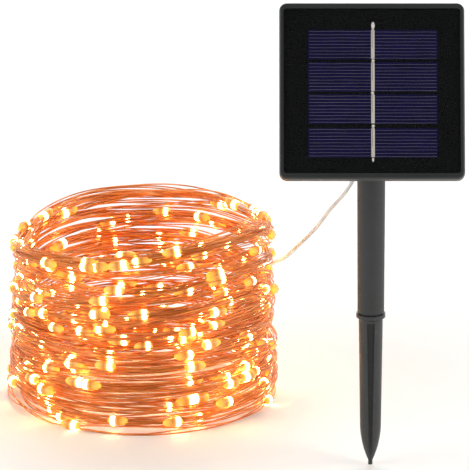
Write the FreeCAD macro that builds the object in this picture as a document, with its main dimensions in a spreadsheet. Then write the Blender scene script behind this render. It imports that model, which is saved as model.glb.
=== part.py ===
import FreeCAD, Part
import math
import os
import re

import Sketcher

# Solar string lights: a square solar head on a ground stake, with a lead that feeds a coil of
# copper wire light string. Millimetres, +Z up. The origin is the point of the spike, on the
# stake's own axis. The solar head looks towards -Y, and the coil stands on z = 0 behind it.

Vector = FreeCAD.Vector

# Every size that can be set by itself. The head's parts are drawn flat about its hinge:
# x to the right, y up the face and z out of the face, so heights below count from the hinge.
SIZES = {
    # ground stake
    "margin": 1,
    "overlap": 0.1,
    "tip_radius": 0.95,
    "nib_height": 2,
    "ogive_height": 19,
    "shank_low_radius": 4.6,
    "shank_top_radius": 5.25,
    "collar_foot": 67.9,
    "collar_chamfer": 0.9,
    "collar_height": 1.6,
    "collar_radius": 6.35,
    "flute_width": 3.4,
    "flute_floor": 1.0,
    "flute_reach": 6,
    "flute_taper": 1.0,
    "spigot_radius": 4.6,
    "spigot_length": 18,
    "shadow_gap": 0.8,
    "shadow_step": 0.35,
    "tube_length": 62.5,
    "tube_wall": 1.2,
    "tube_flare": 0.32,
    "fit_clearance": 0.05,
    "face_clearance": 0.2,
    # neck
    "neck_radius": 6.4,
    "neck_height": 17.5,
    "neck_chamfer": 1.5,
    "tenon_relief": 2,
    "tongue_width": 8,
    "tongue_depth": 11,
    "hinge_drop": 29.5,
    "hinge_round": 6,
    "hinge_pin_radius": 2,
    "gland_azimuth": 142.4,
    "gland_dip": 60.4,
    "gland_x": -2.5,
    "gland_y": 5.9,
    "gland_drop": 23.5,
    "gland_length": 9,
    "gland_radius": 2.3,
    "gland_tip_radius": 1.3,
    "gland_seat": 0.9,
    "gland_flange": 2.6,
    "gland_step": 0.5,
    "gland_step_end": 3.2,
    # solar head
    "head_tilt": 36,
    "front_height": 26,
    "head_width": 80,
    "head_length": 80,
    "head_corner": 3.5,
    "bezel_depth": 3.4,
    "bezel_side": 1.8,
    "bezel_end": 2.5,
    "bezel_edge_round": 0.8,
    "bezel_boss_root": 0.5,
    "window_corner": 1.5,
    "window_depth": 2.2,
    "floor_opening": 58,
    "gasket_thickness": 0.6,
    "gasket_width": 1.2,
    "gasket_inset": 0.5,
    "board_thickness": 1,
    "laminate_clearance": 0.2,
    "cell_width": 56,
    "cell_length": 13.4,
    "cell_thickness": 0.2,
    "cell_shift": 0.4,
    "cell_row_1": 21.3,
    "cell_row_2": 6.6,
    "cell_row_3": -8.1,
    "cell_row_4": -23.4,
    "ribbon_width": 1.5,
    "ribbon_thickness": 0.08,
    "ribbon_tail_width": 0.9,
    "ribbon_tail": 1.5,
    "ribbon_inset": 0.2,
    "ribbon_lap": 0.3,
    "cover_thickness": 0.4,
    "cover_gap": 0.02,
    # back case
    "case_inset": 4.2,
    "case_back": 10,
    "case_wall": 1.6,
    "case_corner": 4,
    "case_edge_round": 2,
    "ear_thickness": 4,
    "ear_clearance": 0.2,
    "ear_root": 0.5,
    "screw_inset": 4.5,
    "screw_radius": 1.25,
    "screw_head_radius": 2.7,
    "screw_head_height": 1.9,
    "screw_length": 9,
    "screw_sink": 0.3,
    "screw_slot_length": 3.2,
    "screw_slot_width": 0.7,
    "screw_slot_depth": 0.9,
    "screw_hole_depth": 6,
    "sink_depth": 1.2,
    "boss_radius": 2.6,
    "boss_gap": 0.3,
    "case_boss_radius": 3.8,
    "boss_reach": 8.5,
    # battery compartment
    "battery_radius": 7.25,
    "battery_clearance": 1.25,
    "battery_rise": 4.4,
    "battery_float": 0.6,
    "battery_length": 49.5,
    "battery_nub_radius": 2.7,
    "battery_nub": 1,
    "bay_wall": 1.4,
    "bay_depth": 7.4,
    "contact_thickness": 0.5,
    "contact_side": 10,
    "contact_height": 8,
    "spring_room": 7.5,
    "spring_wire": 0.35,
    "spring_radius": 3,
    "spring_turns": 4,
    "spring_bends": 8,
    "door_wall": 1.4,
    "door_lap": 1.7,
    "door_foot": 5.7,
    "door_side": 1.2,
    "door_screw_out": 2.8,
    "door_corner": 3,
    "door_edge_round": 1.5,
    "door_sink": 2.6,
    "door_boss_radius": 2.4,
    "door_boss_height": 5,
    "door_pilot_depth": 7,
    "door_screw_radius": 1,
    "door_screw_head": 1.9,
    "door_screw_cap": 1.3,
    "door_screw_length": 8,
    "door_screw_sink": 0.2,
    "door_slot_length": 2.4,
    "door_slot_width": 0.6,
    "door_slot_depth": 0.8,
    # electronics and buttons
    "button_spread": 18,
    "button_row": -20,
    "button_radius": 4,
    "button_proud": 1.3,
    "button_flange": 1,
    "button_travel": 0.7,
    "button_edge_round": 0.6,
    "stem_radius": 1.5,
    "circuit_width": 50,
    "circuit_length": 24,
    "circuit_row": -22,
    "circuit_height": 18,
    "circuit_thickness": 1.2,
    "switch_side": 6,
    "switch_height": 3.2,
    "post_radius": 2.4,
    "post_spread": 8,
    "post_pilot_depth": 8,
    "circuit_screw_cap": 1.2,
    "circuit_screw_reach": 5.5,
    "circuit_hole_depth": 4,
    "chip_x": 1,
    "chip_ahead": 5,
    "chip_length": 5,
    "chip_width": 4,
    "chip_height": 1.5,
    "inductor_x": -14,
    "inductor_behind": 4,
    "inductor_radius": 3,
    "inductor_height": 2.8,
    "capacitor_x": 14,
    "capacitor_behind": 5,
    "capacitor_radius": 2,
    "capacitor_height": 2.9,
    # hinge hardware
    "bolt_head_radius": 3.6,
    "bolt_head_height": 2.6,
    "bolt_dome": 1.56,
    "bolt_root": 0.5,
    "washer_radius": 4.6,
    "washer_thickness": 0.8,
    "knob_radius": 7,
    "knob_width": 7.5,
    "knob_groove": 1.3,
    "knob_groove_out": 0.455,
    "knob_edge_round": 1.2,
    "knob_grooves": 9,
    # cords and coils
    "lead_radius": 0.85,
    "lead_coil_x": -135.8,
    "lead_coil_y": 166.6,
    "lead_coil_middle": 10.5,
    "lead_coil_bundle": 4.8,
    "tie_width": 3.5,
    "tie_thickness": 0.8,
    "tie_clearance": 0.3,
    "sleeve_x": -112,
    "sleeve_y": 178.5,
    "sleeve_length": 20,
    "sleeve_radius": 2.4,
    "sleeve_mouth": 1.2,
    "sleeve_shoulder": 4,
    "sleeve_taper": 5,
    "sleeve_tip": 0.9,
    "string_radius": 0.6,
    "coil_x": -99.9,
    "coil_y": 96.2,
    "coil_outer": 61.5,
    "coil_inner": 53.5,
    "coil_height": 80,
    "coil_round": 3,
}

# Sizes that follow from the ones above, so that what fits together stays together.
FITTED = {
    "tube_foot_radius": "spigot_radius + tube_wall",
    "tube_head_radius": "tube_foot_radius + tube_flare",
    "shadow_radius": "spigot_radius + shadow_step",
    "gland_height": "collar_foot + collar_height + shadow_gap + tube_length + hinge_drop - gland_drop",
    "window_width": "head_width - 2 * bezel_side",
    "window_length": "head_length - 2 * bezel_end",
    "screw_x": "head_width / 2 - case_inset - screw_inset",
    "screw_y": "head_length / 2 - case_inset - screw_inset",
    "battery_height": "case_back + battery_rise",
    "bay_length": "battery_length + battery_nub + 2 * contact_thickness + spring_room",
    "bay_width": "2 * battery_radius + 2 * battery_clearance",
    "battery_row": "screw_y - boss_radius - boss_gap - bay_wall - bay_width / 2",
    "door_length": "bay_length + door_lap + door_foot",
    "door_shift": "(door_foot - door_lap) / 2",
    "door_width": "bay_width + 2 * door_side",
    "door_depth": "battery_radius - battery_rise + battery_float + door_wall - fit_clearance",
    "door_screw_x": "bay_length / 2 + door_screw_out",
}

# The lead from its gland to its spare coil, chosen point by point: down off the gland, across
# to the right of the light coil, then down round the coil's back to the floor.
LEAD_START = [
    (-6.05, 8.63, 130.92),
    (-8.29, 10.36, 125.93),
    (-10.3, 16.5, 120.2),
    (-12.9, 26.9, 113.5),
]
LEAD_ROUTE = [
    (-12.9, 26.9, 113.5),
    (-17.7, 44.0, 102.3),
    (-22.0, 59.6, 90.6),
    (-27.4, 78.0, 78.4),
    (-33.4, 98.0, 66.0),
    (-36.6, 115.5, 56.8),
    (-45.0, 131.8, 47.6),
    (-58.2, 146.4, 37.2),
    (-74.6, 156.4, 26.0),
    (-92.5, 160.6, 15.6),
    (-108.0, 159.6, 9.0),
    (-120.5, 157.0, 6.6),
    (-130.0, 155.9, 6.0),
]
LEAD_TAIL = [
    (-128.6, 178.4, 4.2),
    (-123.2, 179.4, 2.9),
    (-117.6, 179.0, 2.45),
    (-112.0, 178.5, 2.4),
]
STRING_START = [
    (-92.0, 178.5, 2.4),
    (-84.5, 177.6, 1.5),
    (-76.6, 173.0, 0.8),
    (-69.0, 166.0, 0.9),
    (-62.2, 157.6, 1.8),
    (-56.4, 147.6, 2.6),
    (-50.8, 134.4, 3.2),
]
# Wires inside the head, from the solar board and the battery contacts to the circuit board.
INNER_WIRES = {
    "panel_wire_positive": [(3.0, -18.0, 22.6), (5.0, -14.0, 21.0), (8.0, -15.5, 19.4)],
    "panel_wire_negative": [(-3.0, -18.0, 22.6), (-5.0, -14.0, 21.0), (-8.0, -15.5, 19.4)],
    "battery_wire_positive": [(31.2, 14.0, 20.2), (31.5, 2.0, 20.6), (20.0, -13.0, 19.4)],
    "battery_wire_negative": [(-31.2, 14.0, 20.2), (-31.5, 2.0, 20.6), (-20.0, -13.0, 19.4)],
}
WIRE_RADIUS = 0.5

doc = FreeCAD.newDocument("solar_string_lights")
sheet = doc.addObject("Spreadsheet::Sheet", "Sizes")
for row, (size_name, size_value) in enumerate([*SIZES.items(), *FITTED.items()], start=1):
    sheet.set(f"A{row}", size_name)
    sheet.set(f"B{row}", f"={size_value}")
    sheet.setAlias(f"B{row}", size_name)
doc.recompute()

HEAD_PLACE = "placement(vector(0;0;{}); rotation(vector(1;0;0); 90 - head_tilt))"
TUBE_FOOT = "collar_foot + collar_height + shadow_gap"
TUBE_HEAD = f"{TUBE_FOOT} + tube_length"
HINGE_HEIGHT = f"({TUBE_HEAD} + hinge_drop)"
BEZEL_BACK = "(front_height - bezel_depth)"
CASE_RIM = f"({BEZEL_BACK} - gasket_thickness)"
CASE_FLOOR = "(case_back + case_wall)"
LAMINATE_BACK = "(front_height - window_depth)"
# Two lengths this close count as equal; a cord's arc takes this share of its shorter run; a cord's
# volume may differ from section times length by this share; a cut must take away this much, in mm3.
NEAR = 1e-4
ARC_SHARE = 0.45
VOLUME_SLACK = 0.01
SMALLEST_CUT = 0.001
CUT_TYPES = ("PartDesign::Pocket", "PartDesign::SubtractiveBox", "PartDesign::SubtractiveCylinder")
parts = {}


def formula(text):
    """The text as an expression of the document, with each size's name pointed at its cell."""

    def cell(word):
        return f"Sizes.{word[0]}" if word[0] in SIZES or word[0] in FITTED else word[0]

    return re.sub(r"[a-z][a-z0-9_]*", cell, text)


def number(text):
    """The value of an expression in the sizes, in millimetres or degrees."""
    return float(sheet.evalExpression(formula(text)))


# ---------------------------------------------------------------- helpers for drawing bodies


def new_body(name, place):
    """A body for one piece, placed by an expression, and kept as a part to write."""
    body = doc.addObject("PartDesign::Body", name)
    body.Label = name
    body.setExpression("Placement", formula(place))
    parts[name] = body
    return body


def head_body(name):
    """A body drawn flat about the hinge and tilted with the solar head."""
    return new_body(name, HEAD_PLACE.format(HINGE_HEIGHT))


def new_sketch(body, name, plane, offset="0"):
    """A sketch on one of the body's own planes, moved along the plane's normal."""
    sketch = body.newObject("Sketcher::SketchObject", name)
    support = next(f for f in body.Origin.OriginFeatures if f.Role == plane)
    sketch.AttachmentSupport = [(support, "")]
    sketch.MapMode = "FlatFace"
    sketch.setExpression("AttachmentOffset.Base.z", formula(offset))
    return sketch


def pin_point(sketch, item, end, x, y):
    """Fixes one point of a sketch item at (x, y), each an expression in the sizes."""
    for kind, axis, text in (("DistanceX", -2, x), ("DistanceY", -1, y)):
        if text == "0":
            sketch.addConstraint(Sketcher.Constraint("PointOnObject", item, end, axis))
            continue
        which = sketch.addConstraint(Sketcher.Constraint(kind, -1, 1, item, end, number(text)))
        sketch.setExpression(f"Constraints[{which}]", formula(text))


def draw_outline(sketch, corners):
    """A closed outline of straight lines through the corners."""
    points = [Vector(number(x), number(y), 0) for x, y in corners]
    first = sketch.GeometryCount
    for i, point in enumerate(points):
        sketch.addGeometry(Part.LineSegment(point, points[(i + 1) % len(points)]))
    for i, (x, y) in enumerate(corners):
        following = first + (i + 1) % len(points)
        sketch.addConstraint(Sketcher.Constraint("Coincident", first + i, 2, following, 1))
        pin_point(sketch, first + i, 1, x, y)


def draw_rectangle(sketch, x, y, width, length):
    """A rectangle about the centre (x, y)."""
    left, right = f"({x}) - ({width}) / 2", f"({x}) + ({width}) / 2"
    low, high = f"({y}) - ({length}) / 2", f"({y}) + ({length}) / 2"
    draw_outline(sketch, [(left, low), (right, low), (right, high), (left, high)])


def draw_circle(sketch, x, y, radius):
    """A circle about (x, y)."""
    centre = Vector(number(x), number(y), 0)
    item = sketch.addGeometry(Part.Circle(centre, Vector(0, 0, 1), number(radius)))
    pin_point(sketch, item, 3, x, y)
    which = sketch.addConstraint(Sketcher.Constraint("Radius", item, number(radius)))
    sketch.setExpression(f"Constraints[{which}]", formula(radius))


def pad(body, sketch, length):
    """Raises the sketch along its plane's normal."""
    feature = body.newObject("PartDesign::Pad", f"{sketch.Name}_pad")
    feature.Profile = sketch
    feature.setExpression("Length", formula(length))
    return feature


def pocket(body, sketch, depth, upwards=False):
    """Cuts the sketch's shape against its plane's normal, or along it if upwards."""
    feature = body.newObject("PartDesign::Pocket", f"{sketch.Name}_pocket")
    feature.Profile = sketch
    feature.setExpression("Length", formula(depth))
    feature.Reversed = upwards
    return feature


def turn(body, sketch, axis):
    """Revolves the sketch once round one of its own axes."""
    feature = body.newObject("PartDesign::Revolution", f"{sketch.Name}_turn")
    feature.Profile = sketch
    feature.ReferenceAxis = (sketch, [axis])
    feature.Angle = 360
    return feature


def primitive(body, kind, name, place, sizes, lying=False):
    """A box or cylinder added to or cut from the body. A lying cylinder points along +X."""
    feature = body.newObject(f"PartDesign::{kind}", name)
    for key, text in sizes.items():
        feature.setExpression(key, formula(text))
    way = "rotation(vector(0;1;0); 90)" if lying else "rotation(vector(0;1;0); 0)"
    feature.setExpression("Placement", formula(f"placement(vector({place[0]};{place[1]};{place[2]}); {way})"))
    return feature


def box(body, name, centre, low, size, cut=False):
    """A box with its centre over (x, y) and its foot at height low."""
    place = (f"{centre[0]} - ({size[0]}) / 2", f"{centre[1]} - ({size[1]}) / 2", low)
    sizes = {"Length": size[0], "Width": size[1], "Height": size[2]}
    return primitive(body, "SubtractiveBox" if cut else "AdditiveBox", name, place, sizes)


def rod(body, name, foot, radius, length, cut=False, lying=False):
    """A round rod or hole from its foot, up or along +X."""
    sizes = {"Radius": radius, "Height": length}
    kind = "SubtractiveCylinder" if cut else "AdditiveCylinder"
    return primitive(body, kind, name, foot, sizes, lying)


def round_edges(body, name, radius, chosen):
    """Rounds the edges of the body's last feature that the test picks."""
    doc.recompute()
    base = body.Tip
    edges = [f"Edge{i}" for i, edge in enumerate(base.Shape.Edges, start=1) if chosen(edge)]
    feature = body.newObject("PartDesign::Fillet", name)
    feature.Base = (base, edges)
    feature.setExpression("Radius", formula(radius))
    return feature


def upright(edge):
    """True for a straight edge along the body's own z."""
    box_of = edge.BoundBox
    return box_of.XLength < NEAR and box_of.YLength < NEAR and box_of.ZLength > NEAR


def level_at(height):
    """A test for the edges that lie at one height of the body."""

    def chosen(edge):
        return abs(edge.BoundBox.ZMin - height) < NEAR and abs(edge.BoundBox.ZMax - height) < NEAR

    return chosen


def across_at(x):
    """A test for the edges that lie across the body's x axis at one place."""

    def chosen(edge):
        return abs(edge.BoundBox.XMin - x) < NEAR and edge.BoundBox.XLength < NEAR

    return chosen


# ---------------------------------------------------------------- ground stake


def make_spike():
    """The moulded spike: nib, ogive point, two deep flutes, collar and the spigot that the tube sits on."""
    spike = new_body("ground_spike", "placement(vector(0;0;0); rotation(vector(0;0;1); 0))")
    sketch = new_sketch(spike, "spike_profile", "XZ_Plane")
    collar_top = "collar_foot + collar_height"
    corners = [
        ("0", "0"),
        ("tip_radius", "0"),
        ("tip_radius", "nib_height"),
        ("shank_low_radius", "ogive_height"),
        ("shank_top_radius", "collar_foot - collar_chamfer"),
        ("collar_radius", "collar_foot"),
        ("collar_radius", collar_top),
        ("shadow_radius", collar_top),
        ("shadow_radius", f"{collar_top} + shadow_gap"),
        ("spigot_radius", f"{collar_top} + shadow_gap"),
        ("spigot_radius", f"{collar_top} + shadow_gap + spigot_length"),
        ("0", f"{collar_top} + shadow_gap + spigot_length"),
    ]
    points = [Vector(number(x), number(y), 0) for x, y in corners]
    widening, rise = "(shank_low_radius - tip_radius)", "(ogive_height - nib_height)"
    ogive = f"({widening}^2 + {rise}^2) / (2 * {widening})"
    radius = number(ogive)
    for i, point in enumerate(points):
        following = points[(i + 1) % len(points)]
        if i == 2:
            centre = Vector(following.x - radius, following.y, 0)
            start = math.atan2(point.y - centre.y, point.x - centre.x)
            circle = Part.Circle(centre, Vector(0, 0, 1), radius)
            sketch.addGeometry(Part.ArcOfCircle(circle, start, 0))
        else:
            sketch.addGeometry(Part.LineSegment(point, following))
    for i, (x, y) in enumerate(corners):
        following = (i + 1) % len(points)
        sketch.addConstraint(Sketcher.Constraint("Coincident", i, 2, following, 1))
        pin_point(sketch, i, 1, x, y)
    which = sketch.addConstraint(Sketcher.Constraint("Radius", 2, radius))
    sketch.setExpression(f"Constraints[{which}]", formula(ogive))
    turn(spike, sketch, "V_Axis")
    flute = new_sketch(spike, "spike_flute", "XY_Plane", "collar_foot - collar_chamfer - margin")
    draw_rectangle(flute, "0", "-flute_floor - flute_reach / 2", "flute_width", "flute_reach")
    channel = pocket(spike, flute, "collar_foot - collar_chamfer + margin")
    channel.setExpression("TaperAngle", formula("-flute_taper"))
    doc.recompute()
    flutes = spike.newObject("PartDesign::PolarPattern", "spike_flutes")
    flutes.Originals = [channel]
    flutes.Axis = (flute, ["N_Axis"])
    flutes.Angle = 360
    flutes.Occurrences = 2
    spike.Tip = flutes


def make_tube():
    """The slightly tapered stake tube, bored for the spigots at both its ends."""
    tube = new_body("stake_tube", f"placement(vector(0;0;{TUBE_FOOT}); rotation(vector(0;0;1); 0))")
    sketch = new_sketch(tube, "tube_profile", "XZ_Plane")
    bore = "spigot_radius + fit_clearance"
    corners = [
        (bore, "0"),
        ("tube_foot_radius", "0"),
        ("tube_head_radius", "tube_length"),
        (bore, "tube_length"),
    ]
    draw_outline(sketch, corners)
    turn(tube, sketch, "V_Axis")


def make_neck():
    """The neck that turns in the tube's top, with the hinge tongue and the gland's boss."""
    neck = new_body("neck", f"placement(vector(0;0;{HINGE_HEIGHT}); rotation(vector(0;0;1); 0))")
    foot = "-hinge_drop + face_clearance"
    top = "-hinge_drop + neck_height"
    sketch = new_sketch(neck, "neck_profile", "XZ_Plane")
    corners = [
        ("0", f"{foot} - spigot_length + tenon_relief"),
        ("spigot_radius", f"{foot} - spigot_length + tenon_relief"),
        ("spigot_radius", foot),
        ("neck_radius", foot),
        ("neck_radius", f"{top} - neck_chamfer"),
        ("neck_radius - neck_chamfer", top),
        ("0", top),
    ]
    draw_outline(sketch, corners)
    turn(neck, sketch, "V_Axis")
    tongue_foot = f"{top} - margin"
    box(neck, "tongue", ("0", "0"), tongue_foot, ("tongue_width", "tongue_depth", f"-({tongue_foot})"))
    left = ("-tongue_width / 2", "0", "0")
    rod(neck, "tongue_round", left, "hinge_round", "tongue_width", lying=True)
    rod(neck, "tongue_bore", left, "hinge_pin_radius + fit_clearance", "tongue_width", cut=True, lying=True)


def gland_place(back):
    """The gland's frame, with z pointing out along the lead, moved back into the neck."""
    way = "rotation(gland_azimuth; 90 + gland_dip; 0)"
    across = f"({back}) * cos(gland_dip)"
    x = f"gland_x - {across} * cos(gland_azimuth)"
    y = f"gland_y - {across} * sin(gland_azimuth)"
    z = f"gland_height + ({back}) * sin(gland_dip)"
    return f"placement(vector({x};{y};{z}); {way})"


def make_gland():
    """The rubber strain relief that the lead leaves the neck through."""
    gland = new_body("lead_gland", gland_place("0"))
    sketch = new_sketch(gland, "gland_profile", "XZ_Plane")
    corners = [
        ("0", "gland_seat"),
        ("gland_radius", "gland_seat"),
        ("gland_radius", "gland_flange"),
        ("gland_radius - gland_step", "gland_step_end"),
        ("gland_tip_radius", "gland_length"),
        ("0", "gland_length"),
    ]
    draw_outline(sketch, corners)
    turn(gland, sketch, "V_Axis")


# ---------------------------------------------------------------- solar head


def make_bezel():
    """The front frame: a tray for the solar laminate, with screw bosses behind."""
    bezel = head_body("front_bezel")
    outer = new_sketch(bezel, "bezel_outer", "XY_Plane", BEZEL_BACK)
    draw_rectangle(outer, "0", "0", "head_width", "head_length")
    pad(bezel, outer, "bezel_depth")
    round_edges(bezel, "bezel_corners", "head_corner", upright)
    round_edges(bezel, "bezel_edges", "bezel_edge_round", level_at(number("front_height")))
    window = new_sketch(bezel, "bezel_window", "XY_Plane", "front_height")
    draw_rectangle(window, "0", "0", "window_width", "window_length")
    pocket(bezel, window, "window_depth")
    half = number("window_width") / 2

    def inside(edge):
        return upright(edge) and abs(abs(edge.BoundBox.XMin) - half) < NEAR

    round_edges(bezel, "window_corners", "window_corner", inside)
    opening = new_sketch(bezel, "bezel_opening", "XY_Plane", "front_height")
    draw_rectangle(opening, "0", "0", "floor_opening", "floor_opening")
    pocket(bezel, opening, "bezel_depth + margin")
    for i, (x, y) in enumerate(screw_places()):
        foot = (x, y, f"{BEZEL_BACK} - boss_reach")
        rod(bezel, f"bezel_boss_{i}", foot, "boss_radius", "boss_reach + bezel_boss_root")
        rod(bezel, f"bezel_pilot_{i}", foot, "screw_radius + fit_clearance", "boss_reach", cut=True)


def screw_places():
    """The case screws' four places about the head's centre, as expressions."""
    return [(f"{a}screw_x", f"{b}screw_y") for a in ("", "-") for b in ("", "-")]


def make_laminate():
    """The solar laminate: backing board, four cells, their ribbons and the clear cover."""
    board = head_body("panel_board")
    side = ("window_width - 2 * laminate_clearance", "window_length - 2 * laminate_clearance")
    box(board, "board_sheet", ("0", "0"), LAMINATE_BACK, (*side, "board_thickness"))
    cell_back = f"{LAMINATE_BACK} + board_thickness"
    ribbon_back = f"{cell_back} + cell_thickness"
    for i in range(1, 5):
        cell = head_body(f"solar_cell_{i}")
        size = ("cell_width", "cell_length", "cell_thickness")
        box(cell, f"cell_wafer_{i}", ("cell_shift", f"cell_row_{i}"), cell_back, size)
        ribbon = head_body(f"busbar_ribbon_{i}")
        size = ("ribbon_width", "cell_length - 2 * ribbon_inset", "ribbon_thickness")
        box(ribbon, f"ribbon_strip_{i}", ("cell_shift", f"cell_row_{i}"), ribbon_back, size)
        tail = f"cell_row_{i} + cell_length / 2 + ribbon_tail / 2 - ribbon_lap"
        size = ("ribbon_tail_width", "ribbon_tail", "ribbon_thickness")
        box(ribbon, f"ribbon_tail_{i}", ("cell_shift", tail), ribbon_back, size)
    cover = head_body("clear_cover")
    low = f"{ribbon_back} + ribbon_thickness + cover_gap"
    box(cover, "cover_sheet", ("0", "0"), low, (*side, "cover_thickness"))
    for body in (board, cover):
        round_edges(body, f"{body.Name}_corners", "window_corner - laminate_clearance", upright)


def make_case():
    """The back case: shell, battery bay, hinge ears, bosses, posts and button holes."""
    case = head_body("back_case")
    width, length = "head_width - 2 * case_inset", "head_length - 2 * case_inset"
    depth = f"{CASE_RIM} - case_back"
    outer = new_sketch(case, "case_outer", "XY_Plane", "case_back")
    draw_rectangle(outer, "0", "0", width, length)
    pad(case, outer, depth)
    round_edges(case, "case_corners", "case_corner", upright)
    round_edges(case, "case_edges", "case_edge_round", level_at(number("case_back")))
    inner = new_sketch(case, "case_inner", "XY_Plane", CASE_RIM)
    draw_rectangle(inner, "0", "0", f"{width} - 2 * case_wall", f"{length} - 2 * case_wall")
    pocket(case, inner, f"{CASE_RIM} - {CASE_FLOOR}")
    bay = new_sketch(case, "bay_wall", "XY_Plane", f"{CASE_FLOOR} - overlap")
    draw_rectangle(bay, "0", "battery_row", "bay_length + 2 * bay_wall", "bay_width + 2 * bay_wall")
    draw_rectangle(bay, "0", "battery_row", "bay_length", "bay_width")
    pad(case, bay, "bay_depth")
    hole = ("bay_length", "bay_width", "case_wall + 2 * margin")
    box(case, "bay_mouth", ("0", "battery_row"), "case_back - margin", hole, cut=True)
    for side in ("-", ""):
        inner_face = "(tongue_width / 2 + ear_clearance)"
        x = f"{side}({inner_face} + ear_thickness / 2)"
        size = ("ear_thickness", "2 * hinge_round", "case_back + ear_root")
        tag = "left" if side else "right"
        box(case, f"ear_{tag}", (x, "0"), "0", size)
        start = (f"{x} - ear_thickness / 2", "0", "0")
        rod(case, f"ear_round_{tag}", start, "hinge_round", "ear_thickness", lying=True)
        bore = "hinge_pin_radius + fit_clearance"
        rod(case, f"ear_bore_{tag}", start, bore, "ear_thickness", cut=True, lying=True)
        place = (f"{side}button_spread", "button_row", "case_back - margin")
        hole = "button_radius + face_clearance"
        rod(case, f"button_hole_{tag}", place, hole, "case_wall + 2 * margin", cut=True)
        post = (f"{side}post_spread", "circuit_row", f"{CASE_FLOOR} - overlap")
        rod(case, f"circuit_post_{tag}", post, "post_radius", f"circuit_height - {CASE_FLOOR} + overlap")
        pilot = (f"{side}post_spread", "circuit_row", CASE_FLOOR)
        bore = "door_screw_radius + fit_clearance"
        rod(case, f"circuit_pilot_{tag}", pilot, bore, "post_pilot_depth", cut=True)
    boss_top = f"{BEZEL_BACK} - boss_reach - face_clearance"
    for i, (x, y) in enumerate(screw_places()):
        foot = (x, y, f"{CASE_FLOOR} - overlap")
        rod(case, f"case_boss_{i}", foot, "case_boss_radius", f"{boss_top} - {CASE_FLOOR} + overlap")
        through = (x, y, "case_back - margin")
        rod(case, f"case_hole_{i}", through, "screw_radius + face_clearance", "screw_hole_depth", cut=True)
        sink = "screw_head_radius + face_clearance"
        rod(case, f"case_sink_{i}", through, sink, "screw_head_height + sink_depth", cut=True)
    door_boss = ("door_screw_x", "battery_row", f"{CASE_FLOOR} - overlap")
    rod(case, "door_boss", door_boss, "door_boss_radius", "door_boss_height")
    door_pilot = ("door_screw_x", "battery_row", "case_back - margin")
    rod(case, "door_pilot", door_pilot, "door_screw_radius + fit_clearance", "door_pilot_depth", cut=True)


def make_gasket():
    """The foam seal between the case's rim and the front frame."""
    gasket = head_body("case_gasket")
    width, length = "head_width - 2 * case_inset", "head_length - 2 * case_inset"
    sketch = new_sketch(gasket, "gasket_ring", "XY_Plane", CASE_RIM)
    draw_rectangle(sketch, "0", "0", f"{width} - 2 * gasket_inset", f"{length} - 2 * gasket_inset")
    narrower = "2 * gasket_inset - 2 * gasket_width"
    draw_rectangle(sketch, "0", "0", f"{width} - {narrower}", f"{length} - {narrower}")
    pad(gasket, sketch, "gasket_thickness")


def make_case_screws():
    """The four screws that hold the case to the front frame, from behind."""
    head_foot = "case_back + screw_sink"
    slot_foot = f"{head_foot} - overlap"
    for i, (x, y) in enumerate(screw_places()):
        screw = head_body(f"case_screw_{i + 1}")
        rod(screw, f"screw_head_{i}", (x, y, head_foot), "screw_head_radius", "screw_head_height - overlap")
        shank = (x, y, f"{head_foot} + screw_head_height - 2 * overlap")
        rod(screw, f"screw_shank_{i}", shank, "screw_radius", "screw_length")
        slot = ("screw_slot_length", "screw_slot_width", "screw_slot_depth")
        box(screw, f"screw_slot_{i}", (x, y), slot_foot, slot, cut=True)
        cross = ("screw_slot_width", "screw_slot_length", "screw_slot_depth")
        box(screw, f"screw_cross_{i}", (x, y), slot_foot, cross, cut=True)


def make_battery():
    """The rechargeable cell with its contact plates and spring."""
    battery = head_body("battery")
    right_wall = "bay_length / 2"
    tip = f"({right_wall} - contact_thickness)"
    start = (f"{tip} - battery_nub - battery_length", "battery_row", "battery_height")
    rod(battery, "battery_can", start, "battery_radius", "battery_length", lying=True)
    nub = (f"{tip} - battery_nub - overlap", "battery_row", "battery_height")
    rod(battery, "battery_nub", nub, "battery_nub_radius", "battery_nub + overlap", lying=True)
    for name, side in (("battery_contact", ""), ("spring_contact", "-")):
        x = f"{side}({right_wall} - contact_thickness / 2)"
        plate = head_body(name)
        size = ("contact_thickness", "contact_side", "contact_height")
        box(plate, f"{name}_plate", (x, "battery_row"), "battery_height - contact_height / 2", size)


def make_spring():
    """The coil spring that presses the cell against its far contact, bent in short runs and arcs."""
    room = number("bay_length - 2 * contact_thickness - battery_nub - battery_length")
    wire = number("spring_wire")
    height = room - 2 * wire - number("face_clearance")
    radius = number("spring_radius")
    bends = int(number("spring_turns * spring_bends"))
    points = []
    for i in range(bends + 1):
        angle = 2 * math.pi * i / number("spring_bends")
        points.append((radius * math.cos(angle), radius * math.sin(angle), height * i / bends))
    start = "-bay_length / 2 + contact_thickness + spring_wire + face_clearance / 2"
    lying = f"placement(vector({start}; battery_row; battery_height); rotation(vector(0;1;0); 90))"
    place = f"{HEAD_PLACE.format(HINGE_HEIGHT)} * {lying}"
    keep_shape("battery_spring", cord_shape("battery_spring", points, wire), place)


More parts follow.
